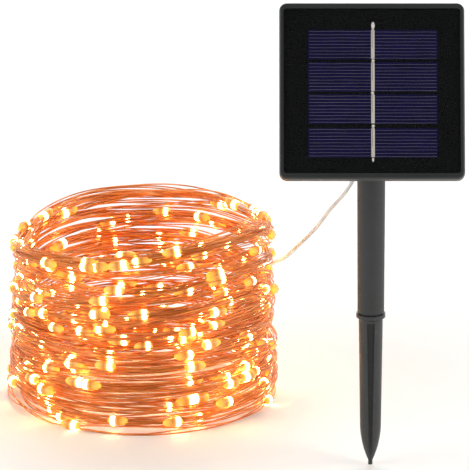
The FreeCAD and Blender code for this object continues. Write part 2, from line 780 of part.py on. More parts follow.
def make_door():
    """The battery door, which screws onto the case's back, and its screw."""
    door = head_body("battery_door")
    low = "case_back - fit_clearance - door_depth"
    outer = new_sketch(door, "door_outer", "XY_Plane", low)
    draw_rectangle(outer, "door_shift", "battery_row", "door_length", "door_width")
    pad(door, outer, "door_depth")
    round_edges(door, "door_corners", "door_corner", upright)
    round_edges(door, "door_edges", "door_edge_round", level_at(number(low)))
    hollow = new_sketch(door, "door_hollow", "XY_Plane", "case_back - fit_clearance")
    draw_rectangle(hollow, "0", "battery_row", "bay_length - margin", "bay_width")
    pocket(door, hollow, "door_depth - door_wall")
    place = ("door_screw_x", "battery_row", f"{low} - margin")
    rod(door, "door_hole", place, "door_screw_radius + face_clearance", "door_depth + 2 * margin", cut=True)
    rod(door, "door_sink", place, "door_screw_head + face_clearance", "door_sink", cut=True)
    screw = head_body("door_screw")
    head = ("door_screw_x", "battery_row", f"{low} + door_screw_sink")
    rod(screw, "door_screw_cap", head, "door_screw_head", "door_screw_cap")
    rod(screw, "door_screw_shank", head, "door_screw_radius", "door_screw_length")
    size = ("door_slot_length", "door_slot_width", "door_slot_depth")
    slot_foot = f"{low} + door_screw_sink - overlap"
    box(screw, "door_screw_slot", ("door_screw_x", "battery_row"), slot_foot, size, cut=True)


def make_electronics():
    """The circuit board, its parts and screws, and the two push buttons."""
    board = head_body("circuit_board")
    size = ("circuit_width", "circuit_length", "circuit_thickness")
    box(board, "circuit_sheet", ("0", "circuit_row"), "circuit_height", size)
    front = "circuit_height + circuit_thickness"
    for side in ("-", ""):
        tag = "left" if side else "right"
        hole = (f"{side}post_spread", "circuit_row", "circuit_height - margin")
        bore = "door_screw_radius + face_clearance"
        rod(board, f"circuit_hole_{tag}", hole, bore, "circuit_hole_depth", cut=True)
    for name, side in (("power", "-"), ("mode", "")):
        x = f"{side}button_spread"
        switch = head_body(f"{name}_switch")
        low = "circuit_height - switch_height"
        size = ("switch_side", "switch_side", "switch_height")
        box(switch, f"{name}_switch_can", (x, "button_row"), low, size)
        button = head_body(f"{name}_button")
        cap = (x, "button_row", "case_back - button_proud")
        cap_height = "case_wall + button_proud + face_clearance + overlap"
        rod(button, f"{name}_cap", cap, "button_radius", cap_height)
        flange = (x, "button_row", f"{CASE_FLOOR} + face_clearance")
        rod(button, f"{name}_flange", flange, "button_radius + button_flange", "button_flange")
        stem = (x, "button_row", f"{CASE_FLOOR} + face_clearance + button_flange - overlap")
        reach = f"{low} - button_travel - face_clearance - ({stem[2]})"
        rod(button, f"{name}_stem", stem, "stem_radius", reach)
        edge = number("case_back - button_proud")
        round_edges(button, f"{name}_cap_edge", "button_edge_round", level_at(edge))
    chip = head_body("controller_chip")
    size = ("chip_length", "chip_width", "chip_height")
    box(chip, "chip_case", ("chip_x", "circuit_row + chip_ahead"), front, size)
    coil = head_body("boost_inductor")
    can = ("inductor_x", "circuit_row - inductor_behind", front)
    rod(coil, "inductor_can", can, "inductor_radius", "inductor_height")
    reservoir = head_body("smoothing_capacitor")
    can = ("capacitor_x", "circuit_row - capacitor_behind", front)
    rod(reservoir, "capacitor_can", can, "capacitor_radius", "capacitor_height")
    for tag, side in (("1", "-"), ("2", "")):
        screw = head_body(f"circuit_screw_{tag}")
        head = (f"{side}post_spread", "circuit_row", front)
        rod(screw, f"circuit_screw_head_{tag}", head, "door_screw_head", "circuit_screw_cap")
        shank = (f"{side}post_spread", "circuit_row", f"{front} - circuit_screw_reach")
        rod(screw, f"circuit_screw_shank_{tag}", shank, "door_screw_radius", "circuit_screw_reach + overlap")


def make_hinge():
    """The hinge bolt, washer and clamp knob."""
    ear_face = "(tongue_width / 2 + ear_clearance + ear_thickness)"
    bolt = head_body("hinge_bolt")
    far_end = f"{ear_face} + washer_thickness + knob_width - margin"
    shank = (f"-({far_end})", "0", "0")
    rod(bolt, "bolt_shank", shank, "hinge_pin_radius", f"{far_end} + {ear_face} + bolt_root", lying=True)
    rod(bolt, "bolt_head", (ear_face, "0", "0"), "bolt_head_radius", "bolt_head_height", lying=True)
    round_edges(bolt, "bolt_dome", "bolt_dome", across_at(number(f"{ear_face} + bolt_head_height")))
    washer = head_body("hinge_washer")
    washer_place = (f"-({ear_face} + washer_thickness)", "0", "0")
    rod(washer, "washer_disc", washer_place, "washer_radius", "washer_thickness", lying=True)
    bore_radius = "hinge_pin_radius + fit_clearance"
    rod(washer, "washer_hole", washer_place, bore_radius, "washer_thickness", cut=True, lying=True)
    knob = head_body("clamp_knob")
    outer_face = f"{ear_face} + washer_thickness + fit_clearance + knob_width"
    disc = new_sketch(knob, "knob_disc", "YZ_Plane", f"-({outer_face})")
    draw_circle(disc, "0", "0", "knob_radius")
    pad(knob, disc, "knob_width")
    round_edges(knob, "knob_rim", "knob_edge_round", across_at(number(f"-({outer_face})")))
    grip = new_sketch(knob, "knob_grip", "YZ_Plane", f"-({outer_face}) - margin")
    draw_circle(grip, "0", "knob_radius + knob_groove_out", "knob_groove")
    groove = pocket(knob, grip, "knob_width + 2 * margin", upwards=True)
    doc.recompute()
    grips = knob.newObject("PartDesign::PolarPattern", "knob_grips")
    grips.Originals = [groove]
    grips.Axis = (grip, ["N_Axis"])
    grips.Angle = 360
    grips.Occurrences = SIZES["knob_grooves"]
    knob.Tip = grips
    bore = (f"-({outer_face}) - margin", "0", "0")
    rod(knob, "knob_bore", bore, bore_radius, "knob_width + 2 * margin", cut=True, lying=True)


# ---------------------------------------------------------------- cords and coils


def cord_shape(name, points, radius):
    """A round cord along straight runs joined by the largest tangent arcs their lengths allow."""
    corners = [Vector(*point) for point in points]
    edges = []
    radii = []
    last = corners[0]
    for before, corner, after in zip(corners, corners[1:], corners[2:]):
        back = (before - corner).normalize()
        ahead = (after - corner).normalize()
        half_turn = (math.pi - back.getAngle(ahead)) / 2
        reach = ARC_SHARE * min(before.distanceToPoint(corner), corner.distanceToPoint(after))
        arc_radius = reach / math.tan(half_turn)
        start = corner + back * reach
        end = corner + ahead * reach
        inwards = (back + ahead).normalize()
        middle = corner + inwards * (arc_radius / math.cos(half_turn) - arc_radius)
        edges.append(Part.LineSegment(last, start).toShape())
        edges.append(Part.Arc(start, middle, end).toShape())
        radii.append(round(arc_radius, 1))
        last = end
    edges.append(Part.LineSegment(last, corners[-1]).toShape())
    path = Part.Wire(edges)
    circle = Part.Circle(corners[0], corners[1] - corners[0], radius)
    cord = path.makePipeShell([Part.Wire([circle.toShape()])], True, True)
    expected = math.pi * radius**2 * path.Length
    if abs(cord.Volume - expected) > VOLUME_SLACK * expected:
        raise RuntimeError(f"{name}: volume {cord.Volume:.2f} is not section times length {expected:.2f}")
    print(f"{name}: length {path.Length:.1f}, radii {radii}")
    return cord


def keep_shape(name, shape, place=None):
    """Keeps a ready shape as one part, with its placement set after its shape."""
    feature = doc.addObject("Part::Feature", name)
    feature.Label = name
    feature.Shape = shape
    if place:
        feature.setExpression("Placement", formula(place))
    parts[name] = feature


def make_cords():
    """The lead in its stretches, the start of the light string and the wires in the head."""
    lead_radius = number("lead_radius")
    keep_shape("lead_start", cord_shape("lead_start", LEAD_START, lead_radius))
    keep_shape("lead_cable", cord_shape("lead_cable", LEAD_ROUTE, lead_radius))
    keep_shape("lead_tail", cord_shape("lead_tail", LEAD_TAIL, lead_radius))
    keep_shape("string_start", cord_shape("string_start", STRING_START, number("string_radius")))
    for name, points in INNER_WIRES.items():
        keep_shape(name, cord_shape(name, points, WIRE_RADIUS), HEAD_PLACE.format(HINGE_HEIGHT))


def make_lead_coil():
    """The lead's spare length in a small tied coil on the floor."""
    coil = doc.addObject("Part::Torus", "lead_coil")
    coil.Label = "lead_coil"
    coil.setExpression("Radius1", formula("lead_coil_middle"))
    coil.setExpression("Radius2", formula("lead_coil_bundle"))
    coil.setExpression("Placement.Base.x", formula("lead_coil_x"))
    coil.setExpression("Placement.Base.y", formula("lead_coil_y"))
    coil.setExpression("Placement.Base.z", formula("lead_coil_bundle + tie_clearance + tie_thickness"))
    parts["lead_coil"] = coil
    height = "lead_coil_bundle + tie_clearance + tie_thickness"
    centre = f"vector(lead_coil_x - lead_coil_middle;lead_coil_y;{height})"
    place = f"placement({centre}; rotation(vector(0;0;1); 0))"
    tie = new_body("coil_tie", place)
    band = new_sketch(tie, "tie_band", "XZ_Plane", "-tie_width / 2")
    draw_circle(band, "0", "0", "lead_coil_bundle + tie_clearance + tie_thickness")
    draw_circle(band, "0", "0", "lead_coil_bundle + tie_clearance")
    pad(tie, band, "tie_width")


def make_sleeve():
    """The moulded sleeve that joins the lead to the light string."""
    place = "placement(vector(sleeve_x;sleeve_y;sleeve_radius); rotation(vector(0;0;1); 0))"
    sleeve = new_body("junction_sleeve", place)
    sketch = new_sketch(sleeve, "sleeve_profile", "XY_Plane")
    corners = [
        ("0", "0"),
        ("0", "sleeve_mouth"),
        ("sleeve_shoulder", "sleeve_radius"),
        ("sleeve_length - sleeve_taper", "sleeve_radius"),
        ("sleeve_length", "sleeve_tip"),
        ("sleeve_length", "0"),
    ]
    draw_outline(sketch, corners)
    turn(sleeve, sketch, "H_Axis")


def make_light_coil():
    """The wound light string, as one ring of the coil's outer shape."""
    coil = new_body("light_coil", "placement(vector(coil_x;coil_y;0); rotation(vector(0;0;1); 0))")
    sketch = new_sketch(coil, "coil_profile", "XZ_Plane")
    corners = [
        ("coil_inner", "0"),
        ("coil_outer", "0"),
        ("coil_outer", "coil_height"),
        ("coil_inner", "coil_height"),
    ]
    draw_outline(sketch, corners)
    turn(coil, sketch, "V_Axis")
    top = number("coil_height")
    round_edges(coil, "coil_rim", "coil_round", level_at(top))


# ---------------------------------------------------------------- checks and output


def check_parts():
    """Stops on any failed object, empty shape, bad solid or cut that removed nothing."""
    for item in doc.Objects:
        if "Invalid" in item.State or "Error" in item.State:
            raise RuntimeError(f"{item.Name} failed: {item.State}")
        if item.TypeId in CUT_TYPES:
            if item.BaseFeature.Shape.Volume - item.Shape.Volume < SMALLEST_CUT:
                raise RuntimeError(f"{item.Name} cuts nothing")
    for name, part in parts.items():
        if part.Shape.isNull() or not part.Shape.isValid() or part.Shape.Volume <= 0:
            raise RuntimeError(f"{name} has no valid solid")
        if len(part.Shape.Solids) != 1:
            raise RuntimeError(f"{name} has {len(part.Shape.Solids)} solids")


def main():
    make_spike()
    make_tube()
    make_neck()
    make_gland()
    make_bezel()
    make_laminate()
    make_case()
    make_gasket()
    make_case_screws()
    make_battery()
    make_spring()
    make_door()
    make_electronics()
    make_hinge()
    make_cords()
    make_lead_coil()
    make_sleeve()
    make_light_coil()
    doc.recompute()
    check_parts()
    os.makedirs("parts", exist_ok=True)
    for name, part in parts.items():
        part.Shape.exportStep(f"parts/{name}.step")
    print(len(parts), "parts, hinge at", round(number(HINGE_HEIGHT), 3))


main()
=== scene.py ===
"""Solar string lights.

A copper light string wound in a ring, joined by a clear lead to a tilting solar head on a ground spike.
"""

import math
import random

import bmesh
import bpy
from bpy.props import FloatProperty, FloatVectorProperty, IntProperty, PointerProperty
from bpy.types import Operator, Panel, PropertyGroup
from mathutils import Matrix, Vector, noise


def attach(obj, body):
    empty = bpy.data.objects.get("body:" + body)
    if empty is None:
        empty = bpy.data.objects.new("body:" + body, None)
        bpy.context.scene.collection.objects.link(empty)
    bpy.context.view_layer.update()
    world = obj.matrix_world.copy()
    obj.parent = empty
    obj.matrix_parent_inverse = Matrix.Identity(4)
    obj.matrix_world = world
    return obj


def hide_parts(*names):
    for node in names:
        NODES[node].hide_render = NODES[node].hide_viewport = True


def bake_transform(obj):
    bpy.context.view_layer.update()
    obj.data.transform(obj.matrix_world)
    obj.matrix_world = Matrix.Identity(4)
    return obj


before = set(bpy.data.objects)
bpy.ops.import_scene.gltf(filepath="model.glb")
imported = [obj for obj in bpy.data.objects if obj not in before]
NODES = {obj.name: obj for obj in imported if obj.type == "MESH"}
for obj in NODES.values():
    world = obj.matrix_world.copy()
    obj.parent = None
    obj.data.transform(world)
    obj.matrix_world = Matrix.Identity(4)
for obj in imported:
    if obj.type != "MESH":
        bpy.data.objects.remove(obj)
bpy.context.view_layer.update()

bl_info = {
    "name": "Solar string lights",
    "version": (1, 0, 0),
    "blender": (4, 5, 0),
    "location": "3D View > Sidebar > Solar lights",
    "description": "Finishes the solar head, the stake, the lead and the wound light string",
    "category": "Object",
}

MM = 0.001

# Where the solar head sits: its own axes are turned about the hinge.
HINGE_HEIGHT = 162.3 * MM
HEAD_TILT = math.radians(54.0)
HEAD = Matrix.Translation((0, 0, HINGE_HEIGHT)) @ Matrix.Rotation(HEAD_TILT, 4, "X")
HEAD_SCALED = HEAD @ Matrix.Scale(MM, 4)

# Cell rows on the head's own axes, in millimetres.
CELL_ROWS = (21.3, 6.6, -8.1, -23.4)
CELL_SIZE = (56.0, 13.4)
CELL_SHIFT = 0.4
CELL_TOP = 25.0
RIBBON_TOP = 25.08

# Routes of the lead and of the first stretch of the light string, in millimetres.
LEAD_ROUTE = (
    (-6.05, 8.63, 130.92), (-8.29, 10.36, 125.93), (-10.3, 16.5, 120.2), (-12.9, 26.9, 113.5),
    (-17.7, 44.0, 102.3), (-22.0, 59.6, 90.6), (-27.4, 78.0, 78.4), (-33.4, 98.0, 66.0),
    (-36.6, 115.5, 56.8), (-45.0, 131.8, 47.6), (-58.2, 146.4, 37.2), (-74.6, 156.4, 26.5),
    (-92.5, 161.2, 18.4), (-108.0, 160.6, 13.4), (-120.5, 158.4, 10.9), (-129.0, 157.0, 10.2),
)
LEAD_TAIL = ((-128.6, 177.6, 1.8), (-123.2, 178.6, 2.0), (-117.6, 178.8, 2.3), (-112.0, 178.5, 2.4))
SPARE_CENTRE = (-135.8, 166.6, 5.9)
STRING_ROUTE = (
    (-92.0, 178.5, 2.4), (-84.5, 177.6, 1.5), (-76.6, 173.0, 1.1),
    (-69.0, 166.0, 1.2), (-62.2, 157.6, 1.8), (-56.4, 147.6, 2.6), (-51.2, 135.5, 3.2),
)
RING_CENTRE = (-99.9, 96.2)
# Height of the ring's top edge by angle in degrees, anticlockwise from +X, in millimetres.
RIM = (
    (0, 79.0), (16, 74.5), (30, 78.0), (45, 78.7), (59, 81.0), (71, 81.7), (93, 77.6), (114, 78.4), (132, 77.2),
    (148, 73.4), (179, 66.8), (201, 74.0), (231, 79.4), (262, 80.9), (286, 85.5), (313, 88.0), (336, 87.5),
    (360, 79.0),
)
RIM_MEAN = 79.0
RIM_MARGIN = 1.2
RING_FOOT = 1.3
# The wound ring's layers, the outer one's radius, what each layer takes off it, and the limits.
LAYERS = 3
RING_RADIUS = 60.2
LAYER_STEP = 2.5
RADIUS_LIMITS = (53.6, 61.0)
RING_START = math.radians(30.0)
# The first turn comes in from this far outside, over this share of a turn.
LEAD_IN = 3.2
LEAD_IN_TURN = 0.16
# Where the turns bunch or spread: middle and width in degrees. The right side's are counted from 180 degrees.
LEFT_SIDE = (188, 30)
RIGHT_SIDE = (196, 26)
BACK = (95, 60)
# Bundles up the ring's height, coarse and fine.
COARSE_BUNDLES = 2.5
FINE_BUNDLES = 8
# Under the rim the turns crowd together, and from there to this level they spread again.
CROWD_FROM = 0.8
CROWD_TO = 0.9
CROWDING = 0.35

# Waves of the wound string: how many, lowest and highest cycles per turn, and size in millimetres.
RISE_WAVES = (9, 0.31, 3.1, 1.7)
SWING_WAVES = (8, 0.37, 2.9, 0.55)
SPREAD_WAVES = (6, 0.7, 9.0, 0.34)
TWIST_WAVES = (3, 0.9, 3.5, 1.4)

WIRES = 3
STRING_SEED = 27
POINTS_PER_TURN = 13
STRING_RESOLUTION = 8
CORD_POINTS = 3900
# The first light's place in gaps, then the string's bare end and each light's own shift, in metres.
FIRST_LIGHT = 0.8
BARE_END = 0.01
LIGHT_SHIFT = 0.03
# The three wires, in millimetres: held together within reach of a light, apart and straying between lights.
HOLD_REACH = 9
HELD = 0.3
APART = 0.45
STRAY = 1.1
APART_LIMIT = 1.5
LIFT = 1.6
LIFT_LIMIT = 1.3
END_STEPS = 40
FLOOR_GAP = 0.3

# Width along a light's drop, from its chip's end, as shares of its length and half width.
DROP_PROFILE = (
    (0.0, 0.2), (0.07, 0.6), (0.18, 0.9), (0.38, 1.0), (0.62, 0.98), (0.80, 0.84), (0.92, 0.56), (1.0, 0.2),
)
DROP_SIDES = 8
DROP_SIZES = (0.88, 1.12)
DROP_OFFSET = (-0.2, 1.1)
DROP_MIDDLE = 0.45
DROP_FLATNESS = 0.92
DROP_FLOOR = 0.95
FORWARD_SHARE = 0.6

# The spare coil: air between turns, rows and columns tried, heights of packed rows in pitches, and the share
# of a turn after which the lead crosses to its next place.
TURN_GAP = 0.03
COIL_ROWS = range(-4, 5)
COIL_COLUMNS = range(-5, 6)
ROW_RISE = 0.866
ROW_DROP = 0.289
COIL_STEPS = 16
COIL_START = math.radians(270)
CROSSING = 0.7
LEAD_RESOLUTION = 6
# The lead's two cores, in millimetres: distance from the middle, radius and length of one twist.
CORE_OFFSET = 0.36
CORE_RADIUS = 0.24
CORE_LAY = 24

# The wire tie, in millimetres: its loops along the coil, its ribbon's section, and its twisted ends.
TIE_REACH = 1.0
TIE_OFFSETS = (-1.1, 1.2)
TIE_SECTION = ((-0.9, 0.0), (-0.35, 0.28), (0.35, 0.28), (0.9, 0.0), (0.35, -0.22), (-0.35, -0.22))
TIE_SIDES = 40
TIE_CLEAR = 0.25
TIE_WAVE = 0.12
END_LENGTH = 7.0
END_TURNING = 15
END_APART = 0.75
END_RADIUS = 0.5
END_SIDES = 6
END_RINGS = 24

# Printed lines, in millimetres: gap beside the ribbon, margin at the cell's edge, step between the halves,
# drift of a line, its height over the cell, its thickness, and how its course wavers.
LINE_START = 0.75
LINE_MARGIN = 0.5
HALF_STEP = -0.32
LINE_DRIFT = 0.05
LINE_LIFT = 0.004
LINE_THICK = 0.02
LINE_WAVER = 0.05
LINE_SEGMENTS = 14
WAVER_RATE = 0.35
# The painted shadow in the crease along a ribbon: its ends from the cell row's middle, place, width, height and
# thickness.
CREASE_ENDS = (-6.2 + 4.6, 6.6)
CREASE_SHIFT = 0.3
CREASE_WIDTH = 0.2
CREASE_LIFT = 0.002
CREASE_THICK = 0.008
SOLDER_LUMPS = 0.16
SOLDER_GRAIN = 1.7

# Softboxes: name, place and size in metres, and share of the side lights' power.
SOFTBOXES = (
    ("left_softbox", (-1.5, -0.5, 0.9), 1.3, 0.5),
    ("right_softbox", (1.5, -0.4, 0.9), 1.3, 0.6),
    ("back_softbox", (0.0, 1.6, 1.6), 1.8, 1.2),
)
LIT_POINT = (-0.05, 0.05, 0.08)
LOOKED_AT = (-0.05908, 0.0, 0.10513)
FLOOR_HALF = 30.0
SENSOR_WIDTH = 36.0
FAR_CLIP = 200.0


def linear(colour):
    """The linear RGBA of an sRGB hex colour such as "#c8502a"."""
    parts = [int(colour[i : i + 2], 16) / 255 for i in (1, 3, 5)]
    return (*[c / 12.92 if c <= 0.04045 else ((c + 0.055) / 1.055) ** 2.4 for c in parts], 1.0)


class SolarHeadSizes(PropertyGroup):
    """What a user would change on the solar head."""

    fingers: IntProperty(name="Fingers", description="Printed silver lines across one cell", default=9, min=3, max=20)
    finger_width: FloatProperty(
        name="Finger width", description="Width of one printed line", default=0.17 * MM, unit="LENGTH"
    )
    plastic: FloatVectorProperty(
        name="Plastic", description="Colour of the moulded case", default=linear("#252826")[:3], subtype="COLOR"
    )
    cell: FloatVectorProperty(
        name="Cell", description="Colour of the silicon", default=linear("#0c063c")[:3], subtype="COLOR"
    )


class LeadSizes(PropertyGroup):
    """What a user would change on the lead."""

    diameter: FloatProperty(name="Diameter", description="Outside of the sheath", default=1.7 * MM, unit="LENGTH")
    length: FloatProperty(name="Length", description="Head to junction sleeve", default=2.0, unit="LENGTH")
    coil_radius: FloatProperty(
        name="Coil radius", description="Middle of the spare coil's turns", default=10.5 * MM, unit="LENGTH"
    )
    coil_turns: IntProperty(name="Coil turns", description="Turns in the spare coil", default=26, min=4, max=40)


class StringSizes(PropertyGroup):
    """What a user would change on the light string."""

    turns: IntProperty(name="Turns", description="Turns in the wound ring", default=76, min=12, max=90)
    wire: FloatProperty(name="Wire", description="Diameter of one enamelled wire", default=0.64 * MM, unit="LENGTH")
    bundle: FloatProperty(name="Bundle", description="Diameter of the three wires", default=1.6 * MM, unit="LENGTH")
    bead_gap: FloatProperty(name="Light spacing", description="Between two lights", default=0.117, unit="LENGTH")
    bead_length: FloatProperty(name="Light length", description="Resin drop", default=9.4 * MM, unit="LENGTH")
    bead_width: FloatProperty(name="Light width", description="Resin drop", default=4.5 * MM, unit="LENGTH")
    copper: FloatVectorProperty(
        name="Copper", description="Colour of the wire's enamel", default=linear("#ea8634")[:3], subtype="COLOR"
    )


class StageSizes(PropertyGroup):
    """Camera and light."""

    distance: FloatProperty(name="Distance", description="Camera to object", default=6.0, unit="LENGTH")
    elevation: FloatProperty(
        name="Elevation", description="Camera above the horizon", default=math.radians(18.15), subtype="ANGLE"
    )
    lens: FloatProperty(name="Lens", description="Focal length", default=1058.3, unit="CAMERA")
    key: FloatProperty(name="Side lights", description="Power of each side softbox", default=26.0)
    floor: FloatVectorProperty(
        name="Floor", description="Colour of the floor", default=linear("#f4f4f2")[:3], subtype="COLOR"
    )


def add_node(tree, kind, inputs=None, **settings):
    """Adds a node, sets its properties, and links or sets its inputs."""
    made = tree.nodes.new(kind)
    for name, value in settings.items():
        setattr(made, name, value)
    for key, value in (inputs or {}).items():
        if isinstance(value, bpy.types.NodeSocket):
            tree.links.new(value, made.inputs[key])
        else:
            made.inputs[key].default_value = value
    return made


def new_material(name):
    """An empty material, its tree and a texture coordinate node."""
    material = bpy.data.materials.new(name)
    material.use_nodes = True
    tree = material.node_tree
    tree.nodes.clear()
    return material, tree, add_node(tree, "ShaderNodeTexCoord")


def set_ramp(ramp, stops):
    """Sets a colour ramp's stops from (position, RGBA) pairs."""
    elements = ramp.color_ramp.elements
    while len(elements) < len(stops):
        elements.new(1.0)
    for element, (position, colour) in zip(elements, stops):
        element.position = position
        element.color = colour


def shade(colour, factor):
    """A colour made darker or lighter."""
    return (*[min(1.0, c * factor) for c in colour[:3]], 1.0)


def grained(name, colour, roughness, grain=0.8, depth=0.03, tone=0.12, spread=0.08, wear=None, **fixed):
    """A moulded, pressed or coated finish: a fine grain in the height, slow drift in tone and gloss.

    grain and depth are in millimetres. A moulding's real grain of about 0.1 mm is drawn coarser so that it
    shows, and wear is a bare colour that comes through on the grain's highest places.
    """
    material, tree, place = new_material(name)
    where = place.outputs["Object"]
    slow = add_node(tree, "ShaderNodeTexNoise", {"Vector": where, "Scale": 55.0, "Detail": 3.0})
    fine = add_node(tree, "ShaderNodeTexNoise", {"Vector": where, "Scale": 1000.0 / grain, "Detail": 4.0})
    tones = add_node(tree, "ShaderNodeValToRGB", {"Fac": slow.outputs["Fac"]})
    set_ramp(tones, ((0.3, shade(colour, 1 - tone)), (0.7, shade(colour, 1 + tone))))
    out = tones.outputs["Color"]
    if wear:
        bare = add_node(tree, "ShaderNodeValToRGB", {"Fac": fine.outputs["Fac"]})
        set_ramp(bare, ((0.56, (0, 0, 0, 1)), (0.74, (1, 1, 1, 1))))
        out = add_node(
            tree, "ShaderNodeMix", {"Factor": bare.outputs["Color"], "A": out, "B": wear}, data_type="RGBA"
        ).outputs["Result"]
    rough = add_node(
        tree,
        "ShaderNodeMapRange",
        {
            "Value": fine.outputs["Fac"],
            "From Min": 0.3,
            "From Max": 0.7,
            "To Min": roughness - spread,
            "To Max": roughness + spread,
        },
    )
    bump = add_node(
        tree, "ShaderNodeBump", {"Height": fine.outputs["Fac"], "Strength": 0.55, "Distance": depth * MM}
    )
    shader = add_node(
        tree,
        "ShaderNodeBsdfPrincipled",
        {"Base Color": out, "Roughness": rough.outputs["Result"], "Normal": bump.outputs["Normal"], **fixed},
    )
    add_node(tree, "ShaderNodeOutputMaterial", {"Surface": shader.outputs["BSDF"]})
    return material


def silicon(colour):
    """Polycrystalline silicon, cast, sawn and sealed under clear resin: flat and glossy.

    Its crystals, 2 to 3 mm wide, show as patches in near shades of dark blue.
    """
    material, tree, place = new_material("Polycrystalline silicon")
    where = place.outputs["Object"]
    crystals = add_node(tree, "ShaderNodeTexVoronoi", {"Vector": where, "Scale": 420.0, "Randomness": 1.0})
    drift = add_node(tree, "ShaderNodeTexNoise", {"Vector": where, "Scale": 120.0, "Detail": 2.0})
    mixed = add_node(
        tree,
        "ShaderNodeMix",
        {"Factor": 0.6, "A": crystals.outputs["Color"], "B": drift.outputs["Color"]},
        data_type="RGBA",
    )
    tones = add_node(tree, "ShaderNodeValToRGB", {"Fac": mixed.outputs["Result"]})
    light = (colour[0] * 1.5, colour[1] * 1.3, colour[2] * 1.35, 1)
    set_ramp(tones, ((0.25, shade(colour, 0.62)), (0.5, shade(colour, 1.0)), (0.75, light)))
    shader = add_node(
        tree,
        "ShaderNodeBsdfPrincipled",
        {
            "Base Color": tones.outputs["Color"],
            "Roughness": 0.28,
            "Specular IOR Level": 0.2,
            "Coat Weight": 0.1,
            "Coat Roughness": 0.06,
        },
    )
    add_node(tree, "ShaderNodeOutputMaterial", {"Surface": shader.outputs["BSDF"]})
    return material


def enamelled_copper(name, colour, roughness=0.32):
    """Drawn copper wire under clear enamel: warm orange metal, each wire its own tone from brown to peach.

    The tones follow the ring's angle slowly and its height and radius fast, about 0.9 mm and 1.4 mm to a tone,
    so neighbouring wires differ.
    """
    material, tree, place = new_material(name)
    split = add_node(tree, "ShaderNodeSeparateXYZ", {"Vector": place.outputs["Object"]})
    across = add_node(tree, "ShaderNodeMath", {0: split.outputs["X"], 1: -RING_CENTRE[0] * MM}, operation="ADD")
    ahead = add_node(tree, "ShaderNodeMath", {0: split.outputs["Y"], 1: -RING_CENTRE[1] * MM}, operation="ADD")
    angle = add_node(
        tree, "ShaderNodeMath", {0: ahead.outputs["Value"], 1: across.outputs["Value"]}, operation="ARCTAN2"
    )
    slow = add_node(tree, "ShaderNodeMath", {0: angle.outputs["Value"], 1: 5.0}, operation="MULTIPLY")
    fast = add_node(tree, "ShaderNodeMath", {0: split.outputs["Z"], 1: 1100.0}, operation="MULTIPLY")
    flat = add_node(tree, "ShaderNodeCombineXYZ", {"X": across.outputs["Value"], "Y": ahead.outputs["Value"]})
    radius = add_node(tree, "ShaderNodeVectorMath", {0: flat.outputs["Vector"]}, operation="LENGTH")
    inward = add_node(tree, "ShaderNodeMath", {0: radius.outputs["Value"], 1: 700.0}, operation="MULTIPLY")
    where = add_node(
        tree,
        "ShaderNodeCombineXYZ",
        {"X": slow.outputs["Value"], "Y": inward.outputs["Value"], "Z": fast.outputs["Value"]},
    )
    stretch = add_node(tree, "ShaderNodeTexNoise", {"Vector": where.outputs["Vector"], "Scale": 1.0, "Detail": 2.0})
    tones = add_node(tree, "ShaderNodeValToRGB", {"Fac": stretch.outputs["Fac"]})
    set_ramp(
        tones,
        (
            (0.30, shade(colour, 0.55)),
            (0.43, shade(colour, 0.82)),
            (0.54, shade(colour, 1.0)),
            (0.68, linear("#f5a560")),
            (0.78, linear("#fdca92")),
        ),
    )
    fine = add_node(tree, "ShaderNodeTexNoise", {"Vector": place.outputs["Object"], "Scale": 900.0, "Detail": 2.0})
    rough = add_node(
        tree,
        "ShaderNodeMapRange",
        {"Value": fine.outputs["Fac"], "To Min": roughness - 0.1, "To Max": roughness + 0.14},
    )
    shader = add_node(
        tree,
        "ShaderNodeBsdfPrincipled",
        {
            "Base Color": tones.outputs["Color"],
            "Metallic": 0.4,
            "Roughness": rough.outputs["Result"],
            "Coat Weight": 0.2,
            "Coat Roughness": 0.15,
        },
    )
    add_node(tree, "ShaderNodeOutputMaterial", {"Surface": shader.outputs["BSDF"]})
    return material


def clear_plastic(name, colour, roughness, through, haze=0.0):
    """Plasticised PVC or cast resin, clear to milky: light goes in and comes back softened, with a wet gloss."""
    material, tree, place = new_material(name)
    where = place.outputs["Object"]
    cloud = add_node(tree, "ShaderNodeTexNoise", {"Vector": where, "Scale": 260.0, "Detail": 3.0})
    tones = add_node(tree, "ShaderNodeValToRGB", {"Fac": cloud.outputs["Fac"]})
    set_ramp(tones, ((0.3, shade(colour, 0.9)), (0.7, shade(colour, 1.04))))
    bump = add_node(tree, "ShaderNodeBump", {"Height": cloud.outputs["Fac"], "Strength": 0.3, "Distance": 0.03 * MM})
    shader = add_node(
        tree,
        "ShaderNodeBsdfPrincipled",
        {
            "Base Color": tones.outputs["Color"],
            "Roughness": roughness,
            "IOR": 1.53,
            "Transmission Weight": through,
            "Subsurface Weight": haze,
            "Subsurface Radius": (0.002, 0.002, 0.002),
            "Subsurface Scale": 0.5,
            "Normal": bump.outputs["Normal"],
        },
    )
    add_node(tree, "ShaderNodeOutputMaterial", {"Surface": shader.outputs["BSDF"]})
    return material


def clear_cover_material():
    """A poured epoxy sheet, about half a millimetre thick, that only shows by its gloss."""
    material, tree, place = new_material("Clear epoxy sheet")
    smear = add_node(tree, "ShaderNodeTexNoise", {"Vector": place.outputs["Object"], "Scale": 40.0, "Detail": 3.0})
    rough = add_node(tree, "ShaderNodeMapRange", {"Value": smear.outputs["Fac"], "To Min": 0.03, "To Max": 0.16})
    shader = add_node(
        tree,
        "ShaderNodeBsdfPrincipled",
        {"Base Color": linear("#0b0d10"), "Roughness": rough.outputs["Result"], "Alpha": 0.12, "IOR": 1.5},
    )
    add_node(tree, "ShaderNodeOutputMaterial", {"Surface": shader.outputs["BSDF"]})
    return material


